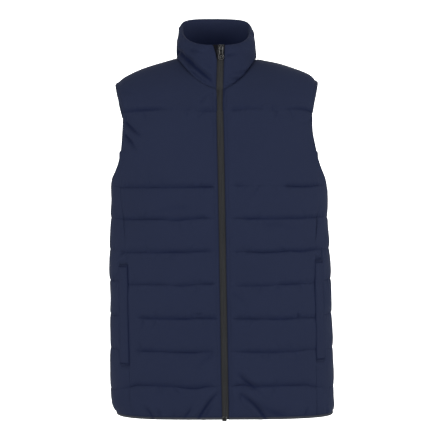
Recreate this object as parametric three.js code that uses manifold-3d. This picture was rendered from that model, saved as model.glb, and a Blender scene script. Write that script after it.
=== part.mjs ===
// Quilted vest with a stand collar and a full front zip, filled out as it is worn, with no wearer.
// Millimetres. +Z is up and the front faces -Y. Left and right are the wearer's: left is towards +X.
// The origin is midway between the two points where the shoulder seams meet the collar.
import * as THREE from "three";
import { mergeVertices } from "three/addons/utils/BufferGeometryUtils.js";
import Module from "manifold-3d";

const wasm = await Module();
wasm.setup();

// Walls and seams
const SEAM_GAP = 0.3;
const PLY = 2.2;
const PUFF = 4.6;
const PUFF_REACH = 24;
const PUFF_ROUND = 0.75;
const DEEPEST_CREASE = 0.5;
// The quilt lines end this far from the zip, fading over this width
const LINE_END = { start: 6, fade: 12 };
const SEAM_PUFF = 0.4;
const SEAM_PUFF_REACH = 14;
const EDGE_PUFF_REACH = 18;

// The body's sections at the depth of the stitching, from the hem up to the yoke line
const SECTIONS = [
  { height: -705, halfWidth: 217.0, front: 116, back: 110, frontSquare: 3.4, backSquare: 3.2 },
  { height: -640, halfWidth: 217.6, front: 117, back: 108, frontSquare: 2.9, backSquare: 2.9 },
  { height: -564, halfWidth: 216.8, front: 118, back: 106, frontSquare: 2.8, backSquare: 2.8 },
  { height: -484, halfWidth: 216.4, front: 119, back: 104, frontSquare: 2.7, backSquare: 2.8 },
  { height: -408, halfWidth: 215.6, front: 120, back: 105, frontSquare: 2.6, backSquare: 2.8 },
  { height: -354, halfWidth: 213.4, front: 122, back: 108, frontSquare: 2.6, backSquare: 2.8 },
  { height: -294, halfWidth: 211.4, front: 124, back: 112, frontSquare: 2.6, backSquare: 2.9 },
  { height: -244, halfWidth: 211.4, front: 124, back: 116, frontSquare: 2.6, backSquare: 3.0 },
  { height: -190, halfWidth: 210.0, front: 119, back: 117, frontSquare: 2.6, backSquare: 3.0 },
  { height: -116, halfWidth: 207.5, front: 108, back: 112, frontSquare: 2.6, backSquare: 3.0 },
];

// Quilting: the lines' heights on front and back, and how far each sits lower on the side panels
const QUILT_LINES = [
  { height: -705, sideDrop: 0 },
  { height: -640, sideDrop: 12 },
  { height: -577, sideDrop: 2.5 },
  { height: -514, sideDrop: 0 },
  { height: -451, sideDrop: -6 },
  { height: -388, sideDrop: -3 },
  { height: -325, sideDrop: -3.5 },
  { height: -262, sideDrop: -4 },
  { height: -116, sideDrop: 0 },
];
const YOKE_LINE = QUILT_LINES[QUILT_LINES.length - 1].height;
const ROW_STEPS = [6.5, 17];
const PLAIN_ROW_SPACING = 18;

// Seams between the fronts and the side panels, and the back seams, by their distance from the centre
const SEAM_PLACES = [
  { height: -705, front: 177, back: 176 },
  { height: -600, front: 178, back: 177 },
  { height: -400, front: 179, back: 177 },
  { height: -324, front: 185, back: 181 },
  { height: -258, front: 190, back: 186 },
];

// Armholes, the same curve on the pattern for front and back but for their depths
const ARMHOLE = {
  frontDepth: 68,
  backDepth: 70,
  yokeFrontDepth: 66,
  yokeBackDepth: 69,
  scoopTop: -178,
  scoopBottom: -244,
  scoopSquare: 2.6,
  topSpread: 1.3,
  seamMeets: -190,
};
const SHOULDER_TIP = { x: 199.8, y: 5, z: -49.5, tilt: 3 };
const SHOULDER_ROUND = 6;
const SHOULDER_ROUND_LEAN = 1.6;

// The neck seam, an egg-shaped ring that drops towards the front
const NECK = {
  halfWidth: 77,
  front: 93,
  back: 63,
  centre: 5,
  square: 2.2,
  shoulder: -4,
  frontDrop: 72,
  dropPower: 2.5,
  backRise: 10,
};
// Rows of the yoke up its straight edge at the zip or centre back, and then round the neck
const YOKE_FRONT_ROWS = { riser: 2, neck: 8 };
const YOKE_BACK_ROWS = { riser: 5, neck: 7 };
// How the front leans back to the neck at the zip, and the back leans forward at its centre
const YOKE_LEAN_POWER = { front: 0.9, back: 1.5 };

// The collar's top edge, which leans forward and down to the zip
const RIM = {
  halfWidth: 71,
  front: 98,
  back: 40,
  centre: 15,
  frontSquare: 2.4,
  backSquare: 3.2,
  low: 14.5,
  rise: 72.5,
  risePower: 1.1,
};
const COLLAR_HEIGHT = RIM.low + NECK.frontDrop;
const COLLAR_BELLY = 1;
// How steeply the neck seam's mitre rises, in front and at the shoulder
const MITRE_RISE = { front: 0.35, shoulder: 1 };
const COLLAR_SEAM_LIFT = 0.4;
const COLLAR_ZIP_FADE = 16;
const COLLAR_EDGE_SHARE = 0.3;
// Across the collar's wall: how far up, and how far out from the seam's surface
const COLLAR_OUTSIDE = [
  { up: 0, out: 0 },
  { up: 0.07, out: 1.6 },
  { up: 0.17, out: 2.8 },
  { up: 0.32, out: 3.4 },
  { up: 0.55, out: 3.5 },
  { up: 0.78, out: 3.1 },
  { up: 0.92, out: 1.8 },
  { up: 0.99, out: -0.4 },
];
const COLLAR_INSIDE = [
  { up: 1.0, out: -2.6 },
  { up: 0.97, out: -4.9 },
  { up: 0.85, out: -6.2 },
  { up: 0.55, out: -6.4 },
  { up: 0.25, out: -5.0 },
  { up: 0, out: -2.2 },
];
// The deep fold low on the right side of the collar, above the neck seam
const COLLAR_FOLD = { up: 0.17, spread: 0.11, depth: 5.0, from: 0.2, to: 0.92, taper: 0.6 };

// The largest creases on the fronts, seen from the front: their two ends, half width and depth
const CREASES = [
  { side: -1, x1: 186, z1: -128, x2: 157, z2: -154, spread: 9, depth: 2.6 },
  { side: -1, x1: 187, z1: -156, x2: 162, z2: -179, spread: 9, depth: 2.2 },
  { side: -1, x1: 17, z1: -658, x2: 42, z2: -696, spread: 9, depth: 2.2 },
  { side: 1, x1: 32, z1: -657, x2: 74, z2: -696, spread: 10, depth: 2.6 },
];

// The zip: its visible band, the lean of its centre above the yoke line, and the gap beside its top
const ZIP = {
  band: 13,
  offset: 2,
  lean: 5,
  leanPower: 1.6,
  bottom: -699,
  top: 15,
  ply: 1.3,
  recess: 0.3,
  tapeGap: 0.2,
};
const COIL = { width: 2.1, height: 1.1, slope: 0.5 };
const TOP_OPENING = { height: 33, width: 9, power: 1.5 };
const TAPE_ROWS = 24;
const TAPE_TOP_ROWS = [-9, 0, 3.1, 4.6, ZIP.top];
const SLIDER = {
  low: 4.6,
  high: 14.6,
  width: 9.5,
  lowWidth: 7.6,
  round: 1.6,
  plate: 1.5,
  clear: 0.35,
  tapeGap: 1.4,
};
const POST = { width: 2, height: 4, top: 13.6 };
const BRIDGE = { width: 3.4, cavity: 2.4, reach: 4, wall: 1.2, root: 0.5 };
const PULL = {
  length: 25,
  topWidth: 7,
  waistWidth: 5.4,
  endWidth: 11.5,
  shoulder: 7,
  waist: 12,
  plate: 1.2,
  eyeWidth: 4.4,
  eyeHeight: 3.6,
  bar: 1.2,
  hole: 2.3,
};
const ARC_STEPS = 6;
const ZIP_FOOT = { width: 9, depth: 3.2, height: 8.5, round: 1.2 };

// Pocket welts: where each ends, its thickness, and how far round it the side panel lies flat
const WELTS = [
  { side: 1, name: "pocket_welt_left", top: -402, bottom: -597 },
  { side: -1, name: "pocket_welt_right", top: -410, bottom: -605 },
];
const WELT = { reach: 27, thickness: 3.0, edgeThickness: 2.0, flatPuff: 1.0, fade: 16 };

// Columns of each panel's grid, as shares of its width; the inner face uses every other one
const FRONT_COLUMNS = [0, 0.03, 0.08, 0.16, 0.27, 0.39, 0.51, 0.63, 0.74, 0.84, 0.92, 0.97, 1];
const BACK_COLUMNS = [0, 0.11, 0.22, 0.34, 0.46, 0.58, 0.69, 0.79, 0.88, 0.95, 1];
const SIDE_COLUMNS = [0, 0.05, 0.1, 0.18, 0.28, 0.39, 0.5, 0.61, 0.72, 0.82, 0.9, 0.95, 1];
const WELT_COLUMNS = 2;
const SIDE_TOP_ROWS = 5;

const CLOTH = { color: 0x282e45, roughness: 0.55, metalness: 0 };
const TAPE = { color: 0x30302f, roughness: 0.8, metalness: 0 };
const METAL = { color: 0x6b6964, roughness: 0.35, metalness: 0.9 };

// How far the filled vest hangs askew: sideways towards +X for each millimetre down
const LEAN = 0.0175;
// Where its outline bulges or draws in on one side: the height, the reach up and down, and how far out
const OUTLINE_SHIFTS = [
  { side: -1, height: -88, spread: 30, out: 4.5 },
  { side: 1, height: -150, spread: 28, out: -4 },
  { side: -1, height: -712, spread: 22, out: -9 },
];
// The shifts fade in between these distances from the centre plane
const SHIFT_FADE = { from: 130, to: 200 };

const RIGHT_ANGLE = Math.PI / 2;
// Points closer than this are one point
const SAME_POINT = 1e-4;
// Steps for slopes and for distances round a ring
const SLOPE_STEP = 1e-3;
const RING_STEP = 0.01;

const mix = (from, to, share) => from + (to - from) * share;
const clamp01 = (value) => Math.min(1, Math.max(0, value));
const smooth = (value) => clamp01(value) ** 2 * (3 - 2 * clamp01(value));
const sum = (first, second, scale = 1) => first.clone().addScaledVector(second, scale);

// A column of a table at a height, on a smooth curve through its rows
function tableValue(table, height, column) {
  const last = table.length - 1;
  const slope = (row) => {
    const before = table[Math.max(0, row - 1)];
    const after = table[Math.min(last, row + 1)];
    return (after[column] - before[column]) / (after.height - before.height);
  };
  let row = 0;
  while (row < last - 1 && height > table[row + 1].height) row += 1;
  const low = table[row];
  const high = table[row + 1];
  const span = high.height - low.height;
  const share = clamp01((height - low.height) / span);
  const rest = 1 - share;
  const ends = low[column] * (1 + 2 * share) * rest ** 2 + high[column] * (3 - 2 * share) * share ** 2;
  return ends + span * (slope(row) * share * rest ** 2 - slope(row + 1) * rest * share ** 2);
}

function sectionAt(height) {
  const section = {};
  for (const column of Object.keys(SECTIONS[0])) {
    section[column] = column === "height" ? height : tableValue(SECTIONS, height, column);
  }
  return section;
}

// Where an egg-shaped ring passes at a turn: 0 at centre front, a right angle at the side, pi at the back
function ringPoint(ring, turn) {
  const sine = Math.sin(turn);
  const cosine = Math.cos(turn);
  const square = cosine > 0 ? ring.frontSquare ?? ring.square : ring.backSquare ?? ring.square;
  const reach = (Math.abs(sine) ** square + Math.abs(cosine) ** square) ** (-1 / square);
  const depth = cosine > 0 ? ring.front : ring.back;
  return { x: ring.halfWidth * reach * sine, y: (ring.centre ?? 0) - depth * reach * cosine };
}

// The turn at which a ring's front half is a given distance from the centre plane
function turnAtWidth(ring, x) {
  const square = ring.frontSquare ?? ring.square;
  const across = x / ring.halfWidth;
  return Math.atan2(across, (1 - across ** square) ** (1 / square));
}

function turnAtBackWidth(ring, x) {
  const across = x / ring.halfWidth;
  return Math.PI - Math.atan2(across, (1 - across ** ring.backSquare) ** (1 / ring.backSquare));
}

// The turn at which a body section is a given distance in front of its middle, or behind it if negative
function turnAtDepth(section, depth) {
  const square = depth > 0 ? section.frontSquare : section.backSquare;
  const share = Math.abs(depth) / (depth > 0 ? section.front : section.back);
  const turn = Math.atan2((1 - share ** square) ** (1 / square), share);
  return depth > 0 ? turn : Math.PI - turn;
}

function bodyPoint(height, turn) {
  const { x, y } = ringPoint(sectionAt(height), turn);
  return new THREE.Vector3(x, y, height);
}

// The turn moved round a body section by a few millimetres
function turnMoved(height, turn, distance) {
  const radius = bodyPoint(height, turn + RING_STEP).distanceTo(bodyPoint(height, turn)) / RING_STEP;
  return turn + distance / radius;
}

// A surface's outward normal from small steps along its two directions
function normalOf(surface, u, v, lowV = -Infinity, highV = Infinity) {
  const step = SLOPE_STEP;
  const along = sum(surface(u + step, v), surface(u - step, v), -1);
  const up = sum(surface(u, Math.min(v + step, highV)), surface(u, Math.max(v - step, lowV)), -1);
  return along.cross(up).normalize();
}

function bodyNormal(height, turn) {
  return normalOf((angle, z) => bodyPoint(z, angle), turn, height);
}

function zipCentre(height) {
  return ZIP.offset + ZIP.lean * clamp01((height - YOKE_LINE) / (RIM.low - YOKE_LINE)) ** ZIP.leanPower;
}

// How far a front's zip edge is from the centre plane; on the right it opens beside the zip's top
function zipEdge(side, height) {
  const opening = side < 0 ? clamp01((height - RIM.low + TOP_OPENING.height) / TOP_OPENING.height) : 0;
  return ZIP.band / 2 + SEAM_GAP + side * zipCentre(height) + TOP_OPENING.width * opening ** TOP_OPENING.power;
}

// How far in front the zip's edge lies, up the chest, over the yoke and up the collar
function zipDepth(height) {
  const neckDepth = NECK.front - NECK.centre;
  if (height <= YOKE_LINE) return sectionAt(height).front;
  if (height < -NECK.frontDrop) {
    const share = (height - YOKE_LINE) / (-NECK.frontDrop - YOKE_LINE);
    return mix(sectionAt(YOKE_LINE).front, neckDepth, share ** YOKE_LEAN_POWER.front);
  }
  return mix(neckDepth, RIM.front - RIM.centre, (height + NECK.frontDrop) / COLLAR_HEIGHT);
}

// How far forward the armhole's scoop is at a share of its drop, as a share of its depth
const scoopForward = (drop) => (1 - drop ** ARMHOLE.scoopSquare) ** (1 / ARMHOLE.scoopSquare);
const JUNCTION_DROP = (ARMHOLE.scoopTop - ARMHOLE.seamMeets) / (ARMHOLE.scoopTop - ARMHOLE.scoopBottom);
const JUNCTION_ANGLE = Math.atan2(JUNCTION_DROP, scoopForward(JUNCTION_DROP));

// The armhole's edge below the yoke: depth in front of the middle, or behind it
function armholeTurn(height, isBack) {
  const depth = isBack ? ARMHOLE.backDepth : ARMHOLE.frontDepth;
  const yokeDepth = isBack ? ARMHOLE.yokeBackDepth : ARMHOLE.yokeFrontDepth;
  const drop = clamp01((ARMHOLE.scoopTop - height) / (ARMHOLE.scoopTop - ARMHOLE.scoopBottom));
  const rise = clamp01((height - ARMHOLE.scoopTop) / (YOKE_LINE - ARMHOLE.scoopTop));
  const place = mix(depth * scoopForward(drop), yokeDepth, smooth(rise));
  return turnAtDepth(sectionAt(height), isBack ? -place : place);
}

const SEAM_TOP = SEAM_PLACES[SEAM_PLACES.length - 1];

// The seam between a side panel and the front or back; above its table it runs up to the armhole
function seamTurn(height, isBack) {
  const column = isBack ? "back" : "front";
  const turnAt = isBack ? turnAtBackWidth : turnAtWidth;
  if (height <= SEAM_TOP.height) {
    return turnAt(sectionAt(height), tableValue(SEAM_PLACES, height, column));
  }
  const start = turnAt(sectionAt(SEAM_TOP.height), SEAM_TOP[column]);
  const end = armholeTurn(ARMHOLE.seamMeets, isBack);
  return mix(start, end, clamp01((height - SEAM_TOP.height) / (ARMHOLE.seamMeets - SEAM_TOP.height)));
}

function panelEdgeTurn(height, isBack) {
  if (height > ARMHOLE.seamMeets) return armholeTurn(height, isBack);
  return turnMoved(height, seamTurn(height, isBack), isBack ? SEAM_GAP / 2 : -SEAM_GAP / 2);
}

function neckPoint(turn) {
  const { x, y } = ringPoint(NECK, turn);
  const forward = Math.max(0, (NECK.centre - y) / NECK.front);
  const backward = Math.max(0, (y - NECK.centre) / NECK.back);
  const drop = (NECK.frontDrop + NECK.shoulder) * forward ** NECK.dropPower;
  return new THREE.Vector3(x, y, NECK.shoulder + NECK.backRise * backward ** 2 - drop);
}

function rimPoint(turn) {
  const { x, y } = ringPoint(RIM, turn);
  const share = (y - RIM.centre + RIM.front) / (RIM.front + RIM.back);
  return new THREE.Vector3(x, y, RIM.low + RIM.rise * clamp01(share) ** RIM.risePower);
}

// Where the neck seam meets the zip
function neckStartTurn(side) {
  return turnAtWidth(NECK, zipEdge(side, -NECK.frontDrop));
}

// The collar's surface: up from the neck seam to the rim, with a slight belly outwards
function collarPoint(side, turn, up) {
  const edge = zipEdge(side, COLLAR_HEIGHT * up - NECK.frontDrop);
  const halfWidth = mix(NECK.halfWidth, RIM.halfWidth, up);
  const start = turnAtWidth({ halfWidth, square: mix(NECK.square, RIM.frontSquare, up) }, edge);
  const place = Math.PI - ((Math.PI - turn) * (Math.PI - start)) / (Math.PI - neckStartTurn(side));
  const point = neckPoint(place).lerp(rimPoint(place), up);
  const outward = new THREE.Vector3(point.x, point.y - NECK.centre, 0).normalize();
  return point.addScaledVector(outward, COLLAR_BELLY * Math.sin(Math.PI * up));
}

// The neck seam's mitre, halfway between the yoke's normal and the collar's
function neckMitre(turn) {
  const point = neckPoint(turn);
  const outward = new THREE.Vector3(point.x, point.y - NECK.centre, 0).normalize();
  return outward.setZ(mix(MITRE_RISE.front, MITRE_RISE.shoulder, smooth(turn / RIGHT_ANGLE))).normalize();
}

// The yoke, a patch between the zip or centre back, the armhole, the yoke line and the shoulder seam
function yokePoint(side, isBack, across, up) {
  const section = sectionAt(YOKE_LINE);
  const sign = isBack ? 1 : -1;
  const innerTurn = isBack ? Math.PI : turnAtWidth(section, zipEdge(side, YOKE_LINE));
  const outerTurn = armholeTurn(YOKE_LINE, isBack);
  const below = (share) => bodyPoint(YOKE_LINE, mix(innerTurn, outerTurn, share));
  const seamY = SHOULDER_TIP.y + (sign * SEAM_GAP) / 2;
  const corner = below(1);
  const angle = up * RIGHT_ANGLE;
  const outer = new THREE.Vector3(
    mix(corner.x, SHOULDER_TIP.x, Math.sin(angle) ** ARMHOLE.topSpread),
    mix(seamY, corner.y, Math.cos(angle)),
    mix(corner.z, SHOULDER_TIP.z + side * SHOULDER_TIP.tilt, Math.sin(angle)),
  );
  const inner = yokeInnerEdge(side, isBack, up);
  const rounding = SHOULDER_ROUND * Math.sin(Math.PI * clamp01(across) ** SHOULDER_ROUND_LEAN);
  const point = inner.clone().lerp(outer, across);
  const bulge = below(across).sub(below(0).lerp(below(1), across));
  point.addScaledVector(bulge, 1 - smooth(up));
  point.z += rounding * smooth(up);
  if (up === 1) point.y = seamY;
  return point;
}

// The share of the yoke's inner edge that is straight, and where on the neck seam the rest begins
function yokeCorner(side, isBack) {
  const { riser, neck } = isBack ? YOKE_BACK_ROWS : YOKE_FRONT_ROWS;
  return { corner: riser / (riser + neck), neckTurn: isBack ? Math.PI : neckStartTurn(side) };
}

// The yoke's inner edge: up the zip or centre back, then round the neck seam to the shoulder
function yokeInnerEdge(side, isBack, up) {
  const { corner, neckTurn } = yokeCorner(side, isBack);
  const share = clamp01((up - corner) / (1 - corner));
  if (up > corner) {
    const point = neckPoint(mix(neckTurn, RIGHT_ANGLE, share));
    if (up === 1) point.y = SHOULDER_TIP.y + ((isBack ? 1 : -1) * SEAM_GAP) / 2;
    return point;
  }
  const rise = up / corner;
  if (isBack) {
    const top = neckPoint(Math.PI);
    const bottom = sectionAt(YOKE_LINE).back;
    return new THREE.Vector3(0, mix(bottom, top.y, rise ** YOKE_LEAN_POWER.back), mix(YOKE_LINE, top.z, rise));
  }
  const height = mix(YOKE_LINE, neckPoint(neckTurn).z, rise);
  return new THREE.Vector3(zipEdge(side, height), -zipDepth(height), height);
}

// How far the wadding has risen at a distance from a line of stitches
function risen(distance, reach) {
  return (1 - (1 - clamp01(distance / reach)) ** 2) ** PUFF_ROUND;
}

const lineHeight = (line, isSide) => (isSide ? line.height - line.sideDrop : line.height);

function lineDistance(height, isSide = false) {
  return Math.min(...QUILT_LINES.map((line) => Math.abs(height - lineHeight(line, isSide))));
}

function creaseDepth(side, point) {
  let depth = 0;
  for (const crease of CREASES.filter((one) => one.side === side)) {
    const along = { x: crease.x2 - crease.x1, z: crease.z2 - crease.z1 };
    const offset = { x: point.x - crease.x1, z: point.z - crease.z1 };
    const length = Math.hypot(along.x, along.z);
    const share = clamp01((offset.x * along.x + offset.z * along.z) / length ** 2);
    const distance = Math.hypot(offset.x - along.x * share, offset.z - along.z * share);
    depth = Math.max(depth, crease.depth * Math.exp(-((distance / crease.spread) ** 2)));
  }
  return depth;
}

// One panel's grid of outer points, with the rows and columns that its plain inner face keeps
class Sheet {
  constructor() {
    this.points = [];
    this.index = new Map();
    this.outerFaces = [];
    this.innerFaces = [];
  }

  add(entry) {
    const { base } = entry;
    const key = [base.x, base.y, base.z].map((value) => Math.round(value / SAME_POINT)).join();
    if (!this.index.has(key)) {
      this.index.set(key, this.points.length);
      this.points.push({ ...entry, isInner: false });
    }
    const at = this.index.get(key);
    this.points[at].isInner ||= entry.isInner;
    return at;
  }

  // rows and columns are lists of { at, inner }; pointAt gives a base point, its normal and its puff
  addGrid(rows, columns, pointAt, flip) {
    const ids = rows.map((row) =>
      columns.map((column) => this.add({ ...pointAt(row, column), isInner: row.inner && column.inner })),
    );
    this.addFaces(this.outerFaces, ids, flip);
    const innerRows = ids.filter((_, row) => rows[row].inner);
    const innerIds = innerRows.map((row) => row.filter((_, column) => columns[column].inner));
    this.addFaces(this.innerFaces, innerIds, flip);
  }

  addFaces(faces, ids, flip) {
    for (let row = 0; row + 1 < ids.length; row += 1) {
      for (let column = 0; column + 1 < ids[row].length; column += 1) {
        const [first, second] = [ids[row][column], ids[row][column + 1]];
        const [third, fourth] = [ids[row + 1][column + 1], ids[row + 1][column]];
        for (const [a, b, c] of [[first, second, third], [first, third, fourth]]) {
          if (a === b || b === c || a === c) continue;
          faces.push(flip ? [a, c, b] : [a, b, c]);
        }
      }
    }
  }
}

// The edges that only one face uses, as the next vertex after each
function boundaryEdges(faces) {
  const used = new Set();
  for (const [a, b, c] of faces) {
    for (const [from, to] of [[a, b], [b, c], [c, a]]) used.add(`${from},${to}`);
  }
  const next = new Map();
  for (const edge of used) {
    const [from, to] = edge.split(",").map(Number);
    if (!used.has(`${to},${from}`)) next.set(from, to);
  }
  return next;
}

// A wall from a sheet: puffed outer face, plain inner face, and a rim that joins them
function wallGeometry(sheet, thickness = PLY) {
  const outer = sheet.points.map((point) => sum(point.base, point.normal, point.puff));
  const inner = sheet.points.map((point) => sum(point.base, point.normal, -(point.thickness ?? thickness)));
  const positions = [...outer, ...inner];
  const shift = outer.length;
  const faces = sheet.outerFaces.map((face) => [...face]);
  for (const [a, b, c] of sheet.innerFaces) faces.push([a + shift, c + shift, b + shift]);
  const next = boundaryEdges(sheet.outerFaces);
  while (next.size > 0) {
    let from = [...next.keys()].find((id) => sheet.points[id].isInner);
    let held = from;
    const start = from;
    do {
      const to = next.get(from);
      next.delete(from);
      faces.push([to, from, held + shift]);
      if (sheet.points[to].isInner) {
        faces.push([to, held + shift, to + shift]);
        held = to;
      }
      from = to;
    } while (from !== start);
  }
  return solidFrom(positions, faces);
}

function signedVolume(positions, faces) {
  return faces.reduce((total, [a, b, c]) => {
    const side = positions[b].clone().cross(positions[c]);
    return total + positions[a].dot(side) / 6;
  }, 0);
}

// A geometry from points and faces, turned so that its faces point out
function solidFrom(positions, faces) {
  const outwards = signedVolume(positions, faces) > 0;
  const triangles = faces.flatMap(([a, b, c]) => (outwards ? [a, b, c] : [a, c, b]));
  const geometry = new THREE.BufferGeometry().setFromPoints(positions);
  geometry.setIndex(triangles);
  const flat = geometry.toNonIndexed();
  flat.computeVertexNormals();
  return flat;
}

// A solid through closed sections of the same point count, with a flat cap on each end
function loftGeometry(sections, capOutline) {
  const count = capOutline.length;
  const faces = [];
  for (let row = 0; row + 1 < sections.length; row += 1) {
    for (let at = 0; at < count; at += 1) {
      const a = row * count + at;
      const b = row * count + ((at + 1) % count);
      faces.push([a, b, b + count], [a, b + count, a + count]);
    }
  }
  const outline = capOutline.map(([u, v]) => new THREE.Vector2(u, v));
  const end = (sections.length - 1) * count;
  const isClockwise = THREE.ShapeUtils.area(outline) < 0;
  for (const [a, b, c] of THREE.ShapeUtils.triangulateShape(outline, [])) {
    const [first, second] = isClockwise ? [c, b] : [b, c];
    faces.push([a, second, first], [a + end, first + end, second + end]);
  }
  return solidFrom(sections.flat(), faces);
}

// Rows of one quilted channel: close together beside the lines, wider over the puff
function channelRows(lower, upper) {
  const last = ROW_STEPS[ROW_STEPS.length - 1];
  const plain = upper - lower - 2 * last;
  const count = Math.max(2, Math.round(plain / PLAIN_ROW_SPACING));
  const rows = [{ at: lower, inner: true }];
  for (const step of ROW_STEPS) rows.push({ at: lower + step, inner: false });
  for (let row = 1; row < count; row += 1) {
    rows.push({ at: lower + last + (plain * row) / count, inner: row % 2 === 1 });
  }
  for (const step of [...ROW_STEPS].reverse()) rows.push({ at: upper - step, inner: false });
  return rows;
}

function panelRows(lines, snaps) {
  const rows = [];
  for (let line = 0; line + 1 < lines.length; line += 1) {
    rows.push(...channelRows(lines[line], lines[line + 1]));
  }
  rows.push({ at: lines[lines.length - 1], inner: true });
  for (const height of snaps) {
    const miss = (row) => Math.abs(row.at - height);
    const nearest = rows.reduce((best, row) => (miss(row) < miss(best) ? row : best));
    nearest.at = height;
    nearest.inner = true;
  }
  return rows;
}

const asColumns = (shares) => shares.map((at, column) => ({ at, inner: column % 2 === 0 }));

function mirrored(entry, side) {
  const turnOver = new THREE.Vector3(side, 1, 1);
  const base = entry.base.clone().multiply(turnOver);
  return { ...entry, base, normal: entry.normal.clone().multiply(turnOver) };
}

// A front or one half of the back below the yoke line
function bodyEntry(side, isBack, height, across) {
  const section = sectionAt(height);
  const innerTurn = isBack ? Math.PI : turnAtWidth(section, zipEdge(side, height));
  const turn = mix(innerTurn, panelEdgeTurn(height, isBack), across);
  const base = bodyPoint(height, turn);
  const edge = bodyPoint(height, panelEdgeTurn(height, isBack));
  const zipDistance = isBack ? Infinity : base.x - zipEdge(side, height);
  const fade = smooth((zipDistance - LINE_END.start) / LINE_END.fade);
  const quilted = 1 - (1 - risen(lineDistance(height), PUFF_REACH)) * fade;
  const isSeam = height <= ARMHOLE.seamMeets;
  const edgeRise = risen(base.distanceTo(edge), isSeam ? SEAM_PUFF_REACH : EDGE_PUFF_REACH);
  const sideFade = isSeam ? mix(SEAM_PUFF, 1, edgeRise) : edgeRise;
  const hemFade = risen(height - QUILT_LINES[0].height, PUFF_REACH);
  const zipFade = isBack ? 1 : risen(zipDistance, SEAM_PUFF_REACH);
  const crease = isBack ? 0 : creaseDepth(side, base);
  const puff = (PUFF * quilted * sideFade * zipFade - crease) * hemFade;
  const normal = bodyNormal(height, turn);
  if (isBack && across === 0) normal.setX(0).normalize();
  return mirrored({ base, normal, puff: Math.max(-DEEPEST_CREASE, puff) }, side);
}

function yokeEntry(side, isBack, across, up) {
  const surface = (u, v) => yokePoint(side, isBack, u, v);
  const base = surface(across, up);
  const normal = normalOf(surface, across, up, 0, 1).multiplyScalar(isBack ? -1 : 1);
  const { corner, neckTurn } = yokeCorner(side, isBack);
  if (across === 0 && up >= corner) {
    normal.copy(neckMitre(mix(neckTurn, RIGHT_ANGLE, (up - corner) / (1 - corner))));
  }
  if (isBack && across === 0 && up <= corner) normal.setX(0).normalize();
  if (up === 1) normal.setY(0).normalize();
  const fromLine = risen(base.distanceTo(surface(across, 0)), PUFF_REACH);
  const fromNeck = isBack && up < corner ? 1 : risen(base.distanceTo(surface(0, up)), SEAM_PUFF_REACH);
  const fromArmhole = risen(base.distanceTo(surface(1, up)), EDGE_PUFF_REACH);
  const fromShoulder = risen(base.distanceTo(surface(across, 1)), SEAM_PUFF_REACH);
  return mirrored({ base, normal, puff: PUFF * fromLine * fromNeck * fromArmhole * fromShoulder }, side);
}

function yokeRows(isBack) {
  const { riser, neck } = isBack ? YOKE_BACK_ROWS : YOKE_FRONT_ROWS;
  const count = riser + neck;
  return Array.from({ length: count }, (_, row) => ({ up: (row + 1) / count, inner: true }));
}

function addHalf(sheet, side, isBack, columns) {
  const lines = QUILT_LINES.map((line) => line.height);
  const rows = [...panelRows(lines, [SEAM_TOP.height, ARMHOLE.seamMeets]), ...yokeRows(isBack)];
  const entryAt = (row, column) =>
    row.up === undefined
      ? bodyEntry(side, isBack, row.at, column.at)
      : yokeEntry(side, isBack, column.at, row.up);
  sheet.addGrid(rows, asColumns(columns), entryAt, side < 0 !== isBack);
}

function frontGeometry(side) {
  const sheet = new Sheet();
  addHalf(sheet, side, false, FRONT_COLUMNS);
  return wallGeometry(sheet);
}

function backGeometry() {
  const sheet = new Sheet();
  addHalf(sheet, 1, true, BACK_COLUMNS);
  addHalf(sheet, -1, true, BACK_COLUMNS);
  return wallGeometry(sheet);
}

// The share of a side panel's flattening under its welt
function weltFlatness(welt, height, base, seam) {
  const beyond = Math.max(welt.bottom - height, height - welt.top, 0);
  const outward = Math.max(0, base.distanceTo(seam) - WELT.reach);
  return smooth(1 - beyond / WELT.fade) * smooth(1 - outward / WELT.fade);
}

function sideRows(welt) {
  const lines = QUILT_LINES.slice(0, -1).map((line) => lineHeight(line, true));
  const rows = panelRows(lines, [welt.top, welt.bottom]);
  const rises = Array.from({ length: SIDE_TOP_ROWS }, (_, row) => (row + 1) / SIDE_TOP_ROWS);
  return [...rows, ...rises.map((rise) => ({ rise, inner: true }))];
}

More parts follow.
